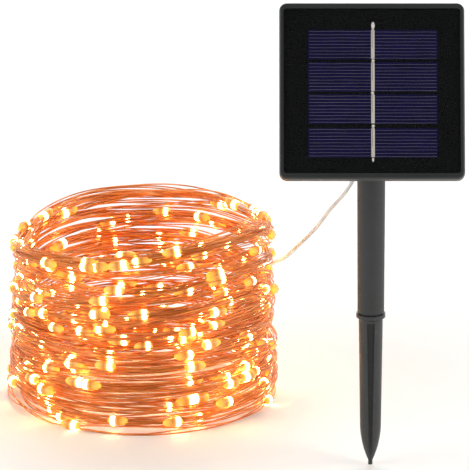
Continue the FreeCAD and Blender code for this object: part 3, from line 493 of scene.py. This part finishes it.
def lit_resin():
    """Cast resin drop over a lit chip: white hot at the chip, yellow round it and amber in the far half.

    The UV map's V runs along the drop, from the chip's end.
    """
    material, tree, place = new_material("Lit amber resin")
    along = add_node(tree, "ShaderNodeSeparateXYZ", {"Vector": place.outputs["UV"]})
    colours = add_node(tree, "ShaderNodeValToRGB", {"Fac": along.outputs["Y"]})
    stops = (
        (0.0, "#ffb83a"), (0.10, "#ffc552"), (0.20, "#ffe092"), (0.34, "#ffe092"), (0.44, "#ffb04c"),
        (0.84, "#ffa440"), (1.0, "#ffc63c"),
    )
    set_ramp(colours, [(position, linear(colour)) for position, colour in stops])
    power = add_node(tree, "ShaderNodeFloatCurve", {"Value": along.outputs["Y"]})
    curve = power.mapping.curves[0]
    for x, y in ((0.13, 0.07), (0.21, 1.0), (0.29, 1.0), (0.39, 0.06), (0.85, 0.042)):
        curve.points.new(x, y)
    curve.points[0].location = (0.0, 0.035)
    curve.points[-1].location = (1.0, 0.045)
    power.mapping.update()
    strength = add_node(tree, "ShaderNodeMath", {0: power.outputs["Value"], 1: 22.0}, operation="MULTIPLY")
    shader = add_node(
        tree,
        "ShaderNodeBsdfPrincipled",
        {
            "Base Color": linear("#e0913c"),
            "Roughness": 0.12,
            "IOR": 1.5,
            "Emission Color": colours.outputs["Color"],
            "Emission Strength": strength.outputs["Value"],
        },
    )
    add_node(tree, "ShaderNodeOutputMaterial", {"Surface": shader.outputs["BSDF"]})
    return material


def add_object(name, data):
    """A new object in the scene."""
    made = bpy.data.objects.new(name, data)
    bpy.context.scene.collection.objects.link(made)
    return made


def aim(made, place, way):
    """Puts a lamp or a camera at its place and turns it to look along a way."""
    made.location = place
    made.rotation_mode = "QUATERNION"
    made.rotation_quaternion = way.to_track_quat("-Z", "Y")


def new_piece(name, bm, material, smooth=True):
    """A finished mesh object at the origin, from a bmesh in metres."""
    mesh = bpy.data.meshes.new(name)
    bm.to_mesh(mesh)
    bm.free()
    mesh.polygons.foreach_set("use_smooth", [smooth] * len(mesh.polygons))
    mesh.materials.append(material)
    return add_object(name, mesh)


def finish_node(name, material):
    """Gives a CAD node its material."""
    mesh = NODES[name].data
    mesh.materials.clear()
    mesh.materials.append(material)


def numbered(stem, count):
    """Node names stem_1 to stem_count."""
    return [f"{stem}_{i + 1}" for i in range(count)]


def finish_nodes(finishes):
    """Gives CAD nodes their materials, from a table of material and names."""
    for material, names in finishes.items():
        for name in names:
            finish_node(name, material)


def closed_loop(bm, verts):
    """Edges that join vertices in a ring."""
    return [bm.edges.new((verts[i], verts[(i + 1) % len(verts)])) for i in range(len(verts))]


def mesh_of(curve):
    """The mesh that a curve makes. The curve is removed."""
    holder = add_object("guide", curve)
    graph = bpy.context.evaluated_depsgraph_get()
    mesh = bpy.data.meshes.new_from_object(holder.evaluated_get(graph))
    bpy.data.objects.remove(holder)
    bpy.data.curves.remove(curve)
    return mesh


def line_of(points, resolution):
    """Points along the NURBS line that the control points guide."""
    curve = bpy.data.curves.new("guide", "CURVE")
    curve.dimensions = "3D"
    curve.resolution_u = resolution
    spline = curve.splines.new("NURBS")
    spline.points.add(len(points) - 1)
    for point, place in zip(spline.points, points):
        point.co = (*place, 1.0)
    spline.order_u = 3
    spline.use_endpoint_u = True
    mesh = mesh_of(curve)
    line = [v.co.copy() for v in mesh.vertices]
    bpy.data.meshes.remove(mesh)
    return line


def tubes(name, lines, radius, sides, material):
    """One mesh of round wires that follow the lines."""
    curve = bpy.data.curves.new(name, "CURVE")
    curve.dimensions = "3D"
    curve.bevel_depth = radius
    curve.bevel_resolution = sides
    curve.use_fill_caps = True
    for line in lines:
        spline = curve.splines.new("POLY")
        spline.points.add(len(line) - 1)
        spline.points.foreach_set("co", [c for p in line for c in (*p, 1.0)])
    mesh = mesh_of(curve)
    bm = bmesh.new()
    bm.from_mesh(mesh)
    bpy.data.meshes.remove(mesh)
    bmesh.ops.recalc_face_normals(bm, faces=bm.faces)
    return new_piece(name, bm, material)


def table_value(table, x):
    """Smoothly interpolated value from (x, value) pairs."""
    for (x0, v0), (x1, v1) in zip(table, table[1:]):
        if x0 <= x <= x1:
            t = (x - x0) / (x1 - x0)
            return v0 + (v1 - v0) * t * t * (3 - 2 * t)
    return table[-1][1]


def waves(draw, count, lowest, highest, size):
    """A smooth, never repeating wander: (cycles per turn, height, phase) of each wave, the fast ones smaller."""
    made = []
    for i in range(count):
        cycles = lowest * (highest / lowest) ** ((i + draw.random() * 0.6) / count)
        made.append((cycles, size * (lowest / cycles) ** 0.55, draw.random() * math.tau))
    return made


def wander(made, s):
    """The waves' sum at s turns."""
    return sum(h * math.sin(math.tau * c * s + p) for c, h, p in made)


def nearness(degrees, middle, width):
    """1 at the middle of a stretch of the ring, falling to 0 away from it."""
    return math.exp(-(((degrees - middle) / width) ** 2))


def bunch(level, bundles, strength, phase):
    """A level up the ring, drawn towards the nearest of a number of bundles."""
    return level + strength / (math.tau * bundles) * math.sin(math.tau * bundles * level + phase)


def ring_point(s, turns, rise, swing):
    """A point of the wound ring after s turns, in millimetres.

    The wire climbs, comes back down and climbs again, a layer further in each time. The turns crowd into
    bundles at the ring's left and right and spread out behind.
    """
    angle = RING_START - math.tau * s
    degrees = math.degrees(angle) % 360
    share = LAYERS * s / turns
    layer = min(LAYERS - 1, int(share))
    climb = share - layer
    if layer == 1:
        climb = 1 - climb
    level = climb + wander(rise, s) / RIM_MEAN
    coarse = 0.05 + 0.7 * nearness(degrees, *LEFT_SIDE) + 0.55 * nearness((degrees + 180) % 360, *RIGHT_SIDE)
    level = bunch(level, COARSE_BUNDLES, coarse, 0.5 * math.sin(angle * 2) * (1 - level))
    swirl = math.pi + 2.2 * math.sin(angle + 0.6) * (1 - level) * level * 2
    level = bunch(level, FINE_BUNDLES, 0.3 - 0.1 * nearness(degrees, *BACK), swirl)
    level = min(1.0, max(0.0, level))
    squeeze = CROWDING - CROWDING * math.sin(angle)
    if level > CROWD_TO:
        level = 1 - (1 - level) * (1 - squeeze)
    elif level > CROWD_FROM:
        level = CROWD_FROM + (level - CROWD_FROM) * (1 + squeeze)
    top = table_value(RIM, degrees) - RIM_MARGIN
    radius = RING_RADIUS - LAYER_STEP * share + wander(swing, s)
    radius = min(RADIUS_LIMITS[1], max(RADIUS_LIMITS[0], radius))
    if s < LEAD_IN_TURN:
        radius += LEAD_IN * (1 - s / LEAD_IN_TURN) ** 2
    x, y = RING_CENTRE
    return (x + radius * math.cos(angle), y + radius * math.sin(angle), RING_FOOT + (top - RING_FOOT) * level)


class SOLAR_OT_lay_lead(Operator):
    """Lay the clear lead from the head's gland to the junction sleeve, its spare length in a tied coil"""

    bl_idname = "solar.lay_lead"
    bl_label = "Lay the lead"

    def execute(self, context):
        sizes = context.scene.solar_lead
        pitch = sizes.diameter / MM + TURN_GAP
        places = []
        for row in COIL_ROWS:
            for column in COIL_COLUMNS:
                across = (column + 0.5 * (row % 2)) * pitch + pitch / 2
                up = (row * ROW_RISE - ROW_DROP) * pitch
                places.append((math.hypot(across, up), row, across, up))
        kept = sorted(sorted(places)[: sizes.coil_turns], key=lambda p: (-p[1], p[2] if p[1] % 2 else -p[2]))
        radius = sizes.coil_radius / MM
        points = list(LEAD_ROUTE)
        total = (sizes.coil_turns - 1) * COIL_STEPS + COIL_STEPS // 2
        for i in range(total + 1):
            turn = min(i // COIL_STEPS, len(kept) - 1)
            along = i / COIL_STEPS - turn
            after = min(turn + 1, len(kept) - 1)
            ease = min(1.0, max(0.0, (along - CROSSING) / (1 - CROSSING)))
            ease = ease * ease * (3 - 2 * ease)
            across = kept[turn][2] * (1 - ease) + kept[after][2] * ease
            up = kept[turn][3] * (1 - ease) + kept[after][3] * ease
            angle = COIL_START - math.tau * i / COIL_STEPS
            x, y, z = SPARE_CENTRE
            far = radius + across
            points.append((x + far * math.cos(angle), y + far * math.sin(angle), z + up))
        points += LEAD_TAIL
        line = line_of([Vector(p) * MM for p in points], LEAD_RESOLUTION)
        # Extruded soft PVC: milky, softly glossy, and pale where its tinned cores show through.
        sheath = clear_plastic("Clear PVC sheath", linear("#d6d8d8"), 0.3, 0.15, 0.2)
        lead = tubes("lead", [line], sizes.diameter / 2, 2, sheath)
        cores = []
        for side in (0, math.pi):
            core = []
            travelled = 0.0
            for i, p in enumerate(line):
                ahead = (line[min(i + 1, len(line) - 1)] - line[max(i - 1, 0)]).normalized()
                if i:
                    travelled += (p - line[i - 1]).length
                out = ahead.cross(Vector((0, 0, 1))).normalized()
                up = out.cross(ahead)
                turn = side + travelled / (CORE_LAY * MM) * math.tau
                core.append(p + (out * math.cos(turn) + up * math.sin(turn)) * CORE_OFFSET * MM)
            cores.append(core)
        # Drawn and tinned copper: a grey metal line inside the sheath.
        tinned = grained("Tinned copper core", linear("#c9c6c0"), 0.35, grain=0.6, depth=0.02, Metallic=0.9)
        inside = tubes("lead_cores", cores, CORE_RADIUS * MM, 0, tinned)
        for piece in (lead, inside):
            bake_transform(piece)
        tie = self.tie(kept)
        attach(tie, "stake")
        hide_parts("lead_start", "lead_cable", "lead_coil", "lead_tail")
        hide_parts("coil_tie")
        return {"FINISHED"}

    def tie(self, kept):
        """A plastic covered wire tie: two flat loops round the coil and a twisted pair of ends."""
        reach = max(p[0] for p in kept) + TIE_REACH
        radius = bpy.context.scene.solar_lead.coil_radius / MM
        bm = bmesh.new()
        for offset in TIE_OFFSETS:
            ring = []
            for i in range(TIE_SIDES):
                angle = math.tau * i / TIE_SIDES
                far = reach + TIE_CLEAR + TIE_WAVE * math.sin(3 * angle + offset)
                ring.append((far * math.cos(angle), far * math.sin(angle)))
            loops = []
            for across, out in TIE_SECTION:
                grow = 1 + out / reach
                verts = []
                for x, z in ring:
                    place = Vector((x * grow - radius, offset + across, z * grow))
                    verts.append(bm.verts.new((Vector(SPARE_CENTRE) + place) * MM))
                loops.append(closed_loop(bm, verts))
            for i in range(len(loops)):
                bmesh.ops.bridge_loops(bm, edges=loops[i] + loops[(i + 1) % len(loops)])
        start = Vector(SPARE_CENTRE) + Vector((-radius - reach * 0.75, 0, reach * 0.72))
        for side in (0.0, math.pi):
            before = None
            for i in range(END_RINGS + 1):
                t = i / END_RINGS
                bend = Vector((-END_LENGTH * t, 0.6 * math.sin(4 * t), 1.8 * math.sin(math.pi * t) + 0.3))
                turn = side + t * END_TURNING
                centre = start + bend + Vector((0, math.cos(turn), math.sin(turn))) * END_APART
                loop = [
                    bm.verts.new((centre + Vector((0, math.cos(a), math.sin(a))) * END_RADIUS) * MM)
                    for a in (math.tau * k / END_SIDES for k in range(END_SIDES))
                ]
                edges = closed_loop(bm, loop)
                if before:
                    bmesh.ops.bridge_loops(bm, edges=before + edges)
                else:
                    bmesh.ops.contextual_create(bm, geom=edges)
                before = edges
            bmesh.ops.contextual_create(bm, geom=before)
        bmesh.ops.recalc_face_normals(bm, faces=bm.faces)
        # PVC moulded round a wire: soft white, with a low satin gloss.
        return new_piece("wire_tie", bm, grained("White PVC tie", linear("#dcdad2"), 0.42, grain=0.7, depth=0.04))


class SOLAR_OT_wind_string(Operator):
    """Wind the copper light string into its ring and set the lights on it"""

    bl_idname = "solar.wind_string"
    bl_label = "Wind the light string"

    def execute(self, context):
        sizes = context.scene.solar_string
        draw = random.Random(STRING_SEED)
        rise = waves(draw, *RISE_WAVES)
        swing = waves(draw, *SWING_WAVES)
        points = list(STRING_ROUTE)
        for i in range(sizes.turns * POINTS_PER_TURN + 1):
            points.append(ring_point(i / POINTS_PER_TURN, sizes.turns, rise, swing))
        dense = line_of([Vector(p) * MM for p in points], STRING_RESOLUTION)
        path = dense[:: math.ceil(len(dense) / CORD_POINTS)]
        if path[-1] != dense[-1]:
            path[-1] = dense[-1]
        reach = [0.0]
        for a, b in zip(dense, dense[1:]):
            reach.append(reach[-1] + (b - a).length)
        length = reach[-1]
        spots = []
        at = sizes.bead_gap * FIRST_LIGHT
        while at < length - BARE_END:
            spots.append(at + draw.uniform(-LIGHT_SHIFT, LIGHT_SHIFT))
            at += sizes.bead_gap
        centre = Vector((RING_CENTRE[0], RING_CENTRE[1], 0)) * MM
        frames = []
        for i, p in enumerate(dense):
            ahead = (dense[min(i + 1, len(dense) - 1)] - dense[max(i - 1, 0)]).normalized()
            out = p - centre
            out.z = 0
            out = (out - ahead * out.dot(ahead)).normalized()
            frames.append((ahead, out, out.cross(ahead)))
        spread = [waves(draw, *SPREAD_WAVES) for _ in range(WIRES)]
        twist = waves(draw, *TWIST_WAVES)
        nearest = 0
        lines = [[] for _ in range(WIRES)]
        turn_length = length / sizes.turns
        for i, p in enumerate(dense):
            while nearest + 1 < len(spots) and abs(spots[nearest + 1] - reach[i]) < abs(spots[nearest] - reach[i]):
                nearest += 1
            gap = abs(spots[nearest] - reach[i]) / (HOLD_REACH * MM)
            loose = min(1.0, gap * gap)
            loose *= min(1.0, (i + 2) / END_STEPS, (len(dense) - i) / END_STEPS)
            s = reach[i] / turn_length
            _, out, up = frames[i]
            for k, line in enumerate(lines):
                angle = math.tau * k / WIRES + wander(twist, s) * 0.7
                wide = min(APART_LIMIT, HELD + loose * (APART + STRAY * abs(wander(spread[k], s))))
                lift = loose * LIFT * wander(spread[(k + 1) % WIRES], s * 1.3)
                lift = max(-LIFT_LIMIT, min(LIFT_LIMIT, lift))
                spot = p + (out * math.cos(angle) * wide * 0.7 + up * (math.sin(angle) * wide + lift)) * MM
                spot.z = max(spot.z, FLOOR_GAP * MM)
                line.append(spot)
        copper = enamelled_copper("Enamelled copper wire", (*sizes.copper, 1.0))
        string = tubes("light_string", lines, sizes.wire / 2, 0, copper)
        lights = self.lights(sizes, dense, reach, frames, spots, draw)
        sleeve = self.end_sleeve(dense, frames)
        for piece in (string, lights, sleeve):
            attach(piece, "stake")
        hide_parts("light_coil", "string_start")
        return {"FINISHED"}

    def lights(self, sizes, dense, reach, frames, spots, draw):
        """Resin drops along the string, each pointed at both ends and fuller over its chip."""
        bm = bmesh.new()
        uv = bm.loops.layers.uv.new("Along")
        sides = DROP_SIDES
        i = 0
        for spot in spots:
            while i + 1 < len(reach) and reach[i + 1] < spot:
                i += 1
            ahead, out, up = frames[i]
            size = draw.uniform(*DROP_SIZES)
            long = sizes.bead_length * size
            wide = sizes.bead_width / 2 * size
            ahead = ahead if draw.random() < FORWARD_SHARE else -ahead
            side = ahead.cross(up).normalized()
            top = side.cross(ahead)
            middle = dense[i] + out * draw.uniform(*DROP_OFFSET) * MM
            middle.z = max(middle.z, wide * DROP_FLOOR)
            before = None
            for v, share in DROP_PROFILE:
                at = middle + ahead * (v - DROP_MIDDLE) * long
                loop = []
                for k in range(sides):
                    angle = math.tau * k / sides
                    flat = side * math.cos(angle) * DROP_FLATNESS
                    loop.append(bm.verts.new(at + (flat + top * math.sin(angle)) * wide * share))
                if before:
                    for k in range(sides):
                        after = (k + 1) % sides
                        face = bm.faces.new((before[0][k], before[0][after], loop[after], loop[k]))
                        corners = ((k, before[1]), (k + 1, before[1]), (k + 1, v), (k, v))
                        for corner, (x, y) in zip(face.loops, corners):
                            corner[uv].uv = (x / sides, y)
                else:
                    face = bm.faces.new(loop[::-1])
                    for corner in face.loops:
                        corner[uv].uv = (0.5, 0.0)
                before = (loop, v)
            face = bm.faces.new(before[0])
            for corner in face.loops:
                corner[uv].uv = (0.5, 1.0)
        bmesh.ops.recalc_face_normals(bm, faces=bm.faces)
        return new_piece("string_lights", bm, lit_resin())

    def end_sleeve(self, dense, frames):
        """The shrink sleeve over the string's cut end."""
        line = [dense[-1] - frames[-1][0] * d * MM for d in (6.0, 4.5, 3.0, 1.5, 0.0, -1.0)]
        # Shrunk polyolefin: clear and glossy, warm from the copper under it.
        sleeve = clear_plastic("Clear shrink sleeve", linear("#e6dfd2"), 0.25, 0.4, 0.2)
        return tubes("end_sleeve", [line], 1.1 * MM, 2, sleeve)


class SOLAR_OT_print_cells(Operator):
    """Print the silver lines on the solar cells, paint the shadows in the ribbons' creases and add their solder"""

    bl_idname = "solar.print_cells"
    bl_label = "Print the cell lines"

    def execute(self, context):
        sizes = context.scene.solar_head
        draw = random.Random(5)
        width = sizes.finger_width / MM
        bm = bmesh.new()
        for row in CELL_ROWS:
            pitch = CELL_SIZE[1] / sizes.fingers
            for i in range(sizes.fingers):
                level = row - CELL_SIZE[1] / 2 + pitch * (i + 0.5) + draw.uniform(-LINE_DRIFT, LINE_DRIFT)
                for side in (-1, 1):
                    start = CELL_SHIFT + side * LINE_START
                    end = CELL_SHIFT + side * (CELL_SIZE[0] / 2 - LINE_MARGIN)
                    across = level + (0.0 if side < 0 else HALF_STEP)
                    self.strip(bm, start, end, across, width, CELL_TOP + LINE_LIFT, LINE_THICK, draw)
        bmesh.ops.transform(bm, matrix=HEAD_SCALED, verts=bm.verts)
        # Screen printed silver paste, fired on: dull grey lines.
        silver = grained("Printed silver paste", linear("#6c6a78"), 0.5, grain=0.5, depth=0.01, tone=0.25)
        fingers = new_piece("cell_lines", bm, silver, smooth=False)
        bm = bmesh.new()
        for row in CELL_ROWS:
            ends = [row + end for end in CREASE_ENDS]
            level = CELL_SHIFT - CREASE_SHIFT
            base = RIBBON_TOP + CREASE_LIFT
            self.strip(bm, *ends, level, CREASE_WIDTH, base, CREASE_THICK, draw, upright=True)
        bmesh.ops.transform(bm, matrix=HEAD_SCALED, verts=bm.verts)
        # Painted shade: a darker grey line on the bright ribbon, standing for the shadow in its crease.
        crease = grained("Painted crease shadow", linear("#8d8c92"), 0.5, grain=0.5, depth=0.01, Metallic=0.5)
        crease_shadows = new_piece("ribbon_crease_shadows", bm, crease, smooth=False)
        bm = bmesh.new()
        # Solder lumps, in millimetres: place across and along the ribbon, half width, half length and height.
        blobs = [(CELL_SHIFT + 0.1, CELL_ROWS[0] + 8.6, 0.75, 1.6, 0.22)]
        for upper, lower in zip(CELL_ROWS, CELL_ROWS[1:]):
            blobs.append((CELL_SHIFT + draw.uniform(-0.2, 0.2), (upper + lower) / 2, 0.7, 0.7, 0.1))
        blobs.append((CELL_SHIFT, CELL_ROWS[3] - 7.7, 0.45, 1.0, 0.14))
        for x, y, wide, long, thick in blobs:
            made = bmesh.ops.create_icosphere(bm, subdivisions=3, radius=1.0)
            for v in made["verts"]:
                lump = 1 + SOLDER_LUMPS * noise.noise(v.co * SOLDER_GRAIN + Vector((x, y, 0)))
                up = CELL_TOP + LINE_THICK + v.co.z * thick
                v.co = Vector((x + v.co.x * wide * lump, y + v.co.y * long * lump, up))
        bmesh.ops.transform(bm, matrix=HEAD_SCALED, verts=bm.verts)
        # Tin solder, melted and set: pale, smooth lumps with a soft shine.
        solder = grained("Solder", linear("#efece4"), 0.35, grain=0.6, depth=0.04, Metallic=0.25)
        joints = new_piece("solder_joints", bm, solder)
        for piece in (fingers, crease_shadows, joints):
            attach(piece, "solar_head")
        return {"FINISHED"}

    def strip(self, bm, start, end, level, width, base, thick, draw, upright=False):
        """A thin line with a slightly uneven course, for the printed lines and for the painted shadows in the
        ribbons' creases.
        """
        grid = bmesh.ops.create_grid(bm, x_segments=LINE_SEGMENTS, y_segments=1, size=0.5)["verts"]
        phase = draw.random() * math.tau
        for v in grid:
            along = start + (v.co.x + 0.5) * (end - start)
            across = level + v.co.y * width + LINE_WAVER * math.sin(along * WAVER_RATE + phase)
            v.co = (across, along, base) if upright else (along, across, base)
        faces = {f for v in grid for f in v.link_faces}
        made = bmesh.ops.extrude_face_region(bm, geom=list(faces))
        top = [g for g in made["geom"] if isinstance(g, bmesh.types.BMVert)]
        bmesh.ops.translate(bm, verts=top, vec=(0, 0, thick))
        shell = {f for v in list(grid) + top for f in v.link_faces}
        bmesh.ops.recalc_face_normals(bm, faces=list(shell))


class SOLAR_OT_finish_head(Operator):
    """Give the solar head's parts their finishes"""

    bl_idname = "solar.finish_head"
    bl_label = "Finish the head"

    def execute(self, context):
        sizes = context.scene.solar_head
        plastic = (*sizes.plastic, 1.0)
        # Moulded ABS with a spark-eroded grain: dull black that breaks up reflections.
        case = grained("Moulded black ABS", plastic, 0.5, grain=0.9, depth=0.05, tone=0.1)
        # The same ABS from a finer mould: satin, so the frame catches soft light.
        satin = grained("Satin black ABS", plastic, 0.34, grain=0.8, depth=0.025, tone=0.1, spread=0.06)
        # Painted laminate: near black, flat and a little glossy.
        faint = {"Specular IOR Level": 0.15}
        board = grained("Black board laminate", linear("#0c0e0b"), 0.3, grain=0.7, depth=0.003, tone=0.15, **faint)
        # Rolled copper ribbon dipped in tin: pale, with a soft metal shine.
        pale = linear("#f2ebdc")
        ribbon = grained("Tinned copper ribbon", pale, 0.42, grain=0.9, depth=0.02, tone=0.06, Metallic=0.15)
        # Foamed rubber with open cells: matt and pitted.
        foam = grained("Black foam rubber", linear("#17181a"), 0.85, grain=0.7, depth=0.12, tone=0.25)
        # Moulded silicone: matt, with a fine skin.
        rubber = grained("Black silicone rubber", linear("#1b1c1d"), 0.62, grain=0.8, depth=0.03)
        # Zinc plated steel, turned and pressed: bright grey with dull, rubbed spots.
        rubbed = linear("#8d8a80")
        zinc = grained("Zinc plated steel", linear("#b9bcbf"), 0.32, grain=0.8, depth=0.02, wear=rubbed, Metallic=1.0)
        circuit_screws = numbered("circuit_screw", 2)
        finishes = {
            case: ("back_case", "battery_door", "clamp_knob", "neck"),
            satin: ("front_bezel",),
            silicon((*sizes.cell, 1.0)): numbered("solar_cell", 4),
            clear_cover_material(): ("clear_cover",),
            board: ("panel_board",),
            ribbon: numbered("busbar_ribbon", 4),
            foam: ("case_gasket",),
            rubber: ("power_button", "mode_button"),
            zinc: ("hinge_bolt", "hinge_washer", "door_screw", *numbered("case_screw", 4), *circuit_screws),
        }
        finish_nodes(finishes)
        return {"FINISHED"}


class SOLAR_OT_finish_inside(Operator):
    """Give the battery, circuit and wires their finishes"""

    bl_idname = "solar.finish_inside"
    bl_label = "Finish the inside"

    def execute(self, context):
        # Rolled steel plated with nickel: bright, warm grey.
        nickel = grained("Nickel plated spring steel", linear("#c6c3bb"), 0.28, grain=0.7, depth=0.02, Metallic=1.0)
        # Shrunk PVC film: glossy, slightly rippled.
        film = grained("Shrink film on the battery", linear("#2f7d4f"), 0.3, grain=2.5, depth=0.04, tone=0.08)
        # Glass fibre board under green resist: glossy, with paler tracks.
        board = grained("Green circuit board", linear("#1f5a35"), 0.35, grain=1.4, depth=0.03, wear=linear("#3c7a4e"))
        # Moulded epoxy: dark grey, dull, fine grained.
        epoxy = grained("Moulded epoxy component", linear("#1c1c1e"), 0.45, grain=0.5, depth=0.03)
        # Drawn aluminium in a blue sleeve: half metal, half film.
        can = grained("Aluminium can", linear("#3a4e86"), 0.3, grain=0.8, depth=0.02, Metallic=0.4)
        # Extruded PVC insulation: smooth, softly glossy, red for plus and black for minus.
        plus = grained("Red PVC insulation", linear("#b3201c"), 0.4, grain=0.9, depth=0.02)
        minus = grained("Black PVC insulation", linear("#1a1a1b"), 0.4, grain=0.9, depth=0.02)
        winding = enamelled_copper("Inductor winding", linear("#c8642e"))
        # Moulded soft PVC, clearer and thicker than the lead's sheath.
        clear = clear_plastic("Moulded clear PVC", linear("#dfe2e1"), 0.3, 0.3, 0.3)
        # Moulded PVC: soft white and satin.
        tie = grained("Tie plastic", linear("#dcdad2"), 0.45)
        finishes = {
            nickel: ("battery_contact", "battery_spring", "spring_contact"),
            film: ("battery",),
            board: ("circuit_board",),
            epoxy: ("controller_chip", "mode_switch", "power_switch"),
            can: ("smoothing_capacitor",),
            plus: ("panel_wire_positive", "battery_wire_positive"),
            minus: ("panel_wire_negative", "battery_wire_negative"),
            winding: ("boost_inductor", "light_coil", "string_start"),
            clear: ("lead_gland", "lead_start", "lead_cable", "lead_coil", "lead_tail", "junction_sleeve"),
            tie: ("coil_tie",),
        }
        finish_nodes(finishes)
        return {"FINISHED"}


class SOLAR_OT_finish_stake(Operator):
    """Give the stake its finish"""

    bl_idname = "solar.finish_stake"
    bl_label = "Finish the stake"

    def execute(self, context):
        # Extruded ABS: black, with long soft highlights.
        tube = grained("Extruded black ABS tube", linear("#262827"), 0.5, grain=1.1, depth=0.05, tone=0.12)
        # Moulded polypropylene: waxier, and scuffed to grey where it is pushed into the ground.
        scuffed = linear("#3a3c3a")
        spike = grained(
            "Moulded polypropylene spike", linear("#292b2a"), 0.42, grain=1.3, depth=0.07, tone=0.15, wear=scuffed
        )
        finish_node("stake_tube", tube)
        finish_node("ground_spike", spike)
        return {"FINISHED"}


class SOLAR_OT_set_stage(Operator):
    """Set the floor, the soft lights and the camera"""

    bl_idname = "solar.set_stage"
    bl_label = "Set the stage"

    def execute(self, context):
        sizes = context.scene.solar_stage
        scene = context.scene
        bm = bmesh.new()
        bmesh.ops.create_grid(bm, x_segments=4, y_segments=4, size=FLOOR_HALF)
        # Uncoated paper from a roll: almost white, without any shine.
        dull = {"Specular IOR Level": 0.0}
        white = (*sizes.floor, 1.0)
        paper = grained("Pale paper", white, 0.9, grain=3.0, depth=0.0, tone=0.004, spread=0.02, **dull)
        new_piece("floor", bm, paper, smooth=False)
        world = bpy.data.worlds.new("Studio")
        scene.world = world
        world.use_nodes = True
        tree = world.node_tree
        tree.nodes.clear()
        place = add_node(tree, "ShaderNodeTexCoord")
        split = add_node(tree, "ShaderNodeSeparateXYZ", {"Vector": place.outputs["Generated"]})
        dome = add_node(tree, "ShaderNodeValToRGB", {"Fac": split.outputs["Z"]})
        # White at the horizon and dim overhead, so that what faces up stays dark.
        dim = (0.2, 0.2, 0.205, 1)
        set_ramp(dome, ((0.0, (1, 1, 1, 1)), (0.35, (0.95, 0.95, 0.95, 1)), (0.7, dim), (1.0, dim)))
        sky = add_node(tree, "ShaderNodeBackground", {"Color": dome.outputs["Color"], "Strength": 1.0})
        add_node(tree, "ShaderNodeOutputWorld", {"Surface": sky.outputs["Background"]})
        for name, spot, size, share in SOFTBOXES:
            lamp = bpy.data.lights.new(name, "AREA")
            lamp.size = size
            lamp.energy = sizes.key * share
            aim(add_object(name, lamp), spot, Vector(LIT_POINT) - Vector(spot))
        camera = bpy.data.cameras.new("camera")
        camera.lens = sizes.lens
        camera.sensor_width = SENSOR_WIDTH
        camera.clip_end = FAR_CLIP
        back = Vector((0, -math.cos(sizes.elevation), math.sin(sizes.elevation)))
        scene.camera = add_object("camera", camera)
        aim(scene.camera, Vector(LOOKED_AT) + back * sizes.distance, -back)
        scene.view_settings.view_transform = "Standard"
        return {"FINISHED"}


class SOLAR_PT_panel(Panel):
    """Lists the steps that finish the solar string lights"""

    bl_idname = "SOLAR_PT_panel"
    bl_label = "Solar lights"
    bl_space_type = "VIEW_3D"
    bl_region_type = "UI"
    bl_category = "Solar lights"

    def draw(self, context):
        for step in STEPS:
            self.layout.operator(step.bl_idname)
        for group in GROUPS:
            sizes = getattr(context.scene, group)
            for name in sizes.__annotations__:
                self.layout.prop(sizes, name)


GROUPS = {
    "solar_head": SolarHeadSizes,
    "solar_lead": LeadSizes,
    "solar_string": StringSizes,
    "solar_stage": StageSizes,
}
STEPS = (
    SOLAR_OT_set_stage,
    SOLAR_OT_lay_lead,
    SOLAR_OT_wind_string,
    SOLAR_OT_finish_head,
    SOLAR_OT_print_cells,
    SOLAR_OT_finish_inside,
    SOLAR_OT_finish_stake,
)


def register():
    """Registers the classes and hangs the sizes on the scene."""
    for made in (*GROUPS.values(), *STEPS, SOLAR_PT_panel):
        bpy.utils.register_class(made)
    for name, group in GROUPS.items():
        setattr(bpy.types.Scene, name, PointerProperty(type=group))


def unregister():
    """Takes them off again."""
    for name in GROUPS:
        delattr(bpy.types.Scene, name)
    for made in (SOLAR_PT_panel, *reversed(STEPS), *reversed(list(GROUPS.values()))):
        bpy.utils.unregister_class(made)


def main():
    """Builds everything."""
    register()
    bpy.ops.solar.set_stage()
    bpy.ops.solar.lay_lead()
    bpy.ops.solar.wind_string()
    bpy.ops.solar.finish_head()
    bpy.ops.solar.print_cells()
    bpy.ops.solar.finish_inside()
    bpy.ops.solar.finish_stake()


if __name__ == "__main__":
    main()
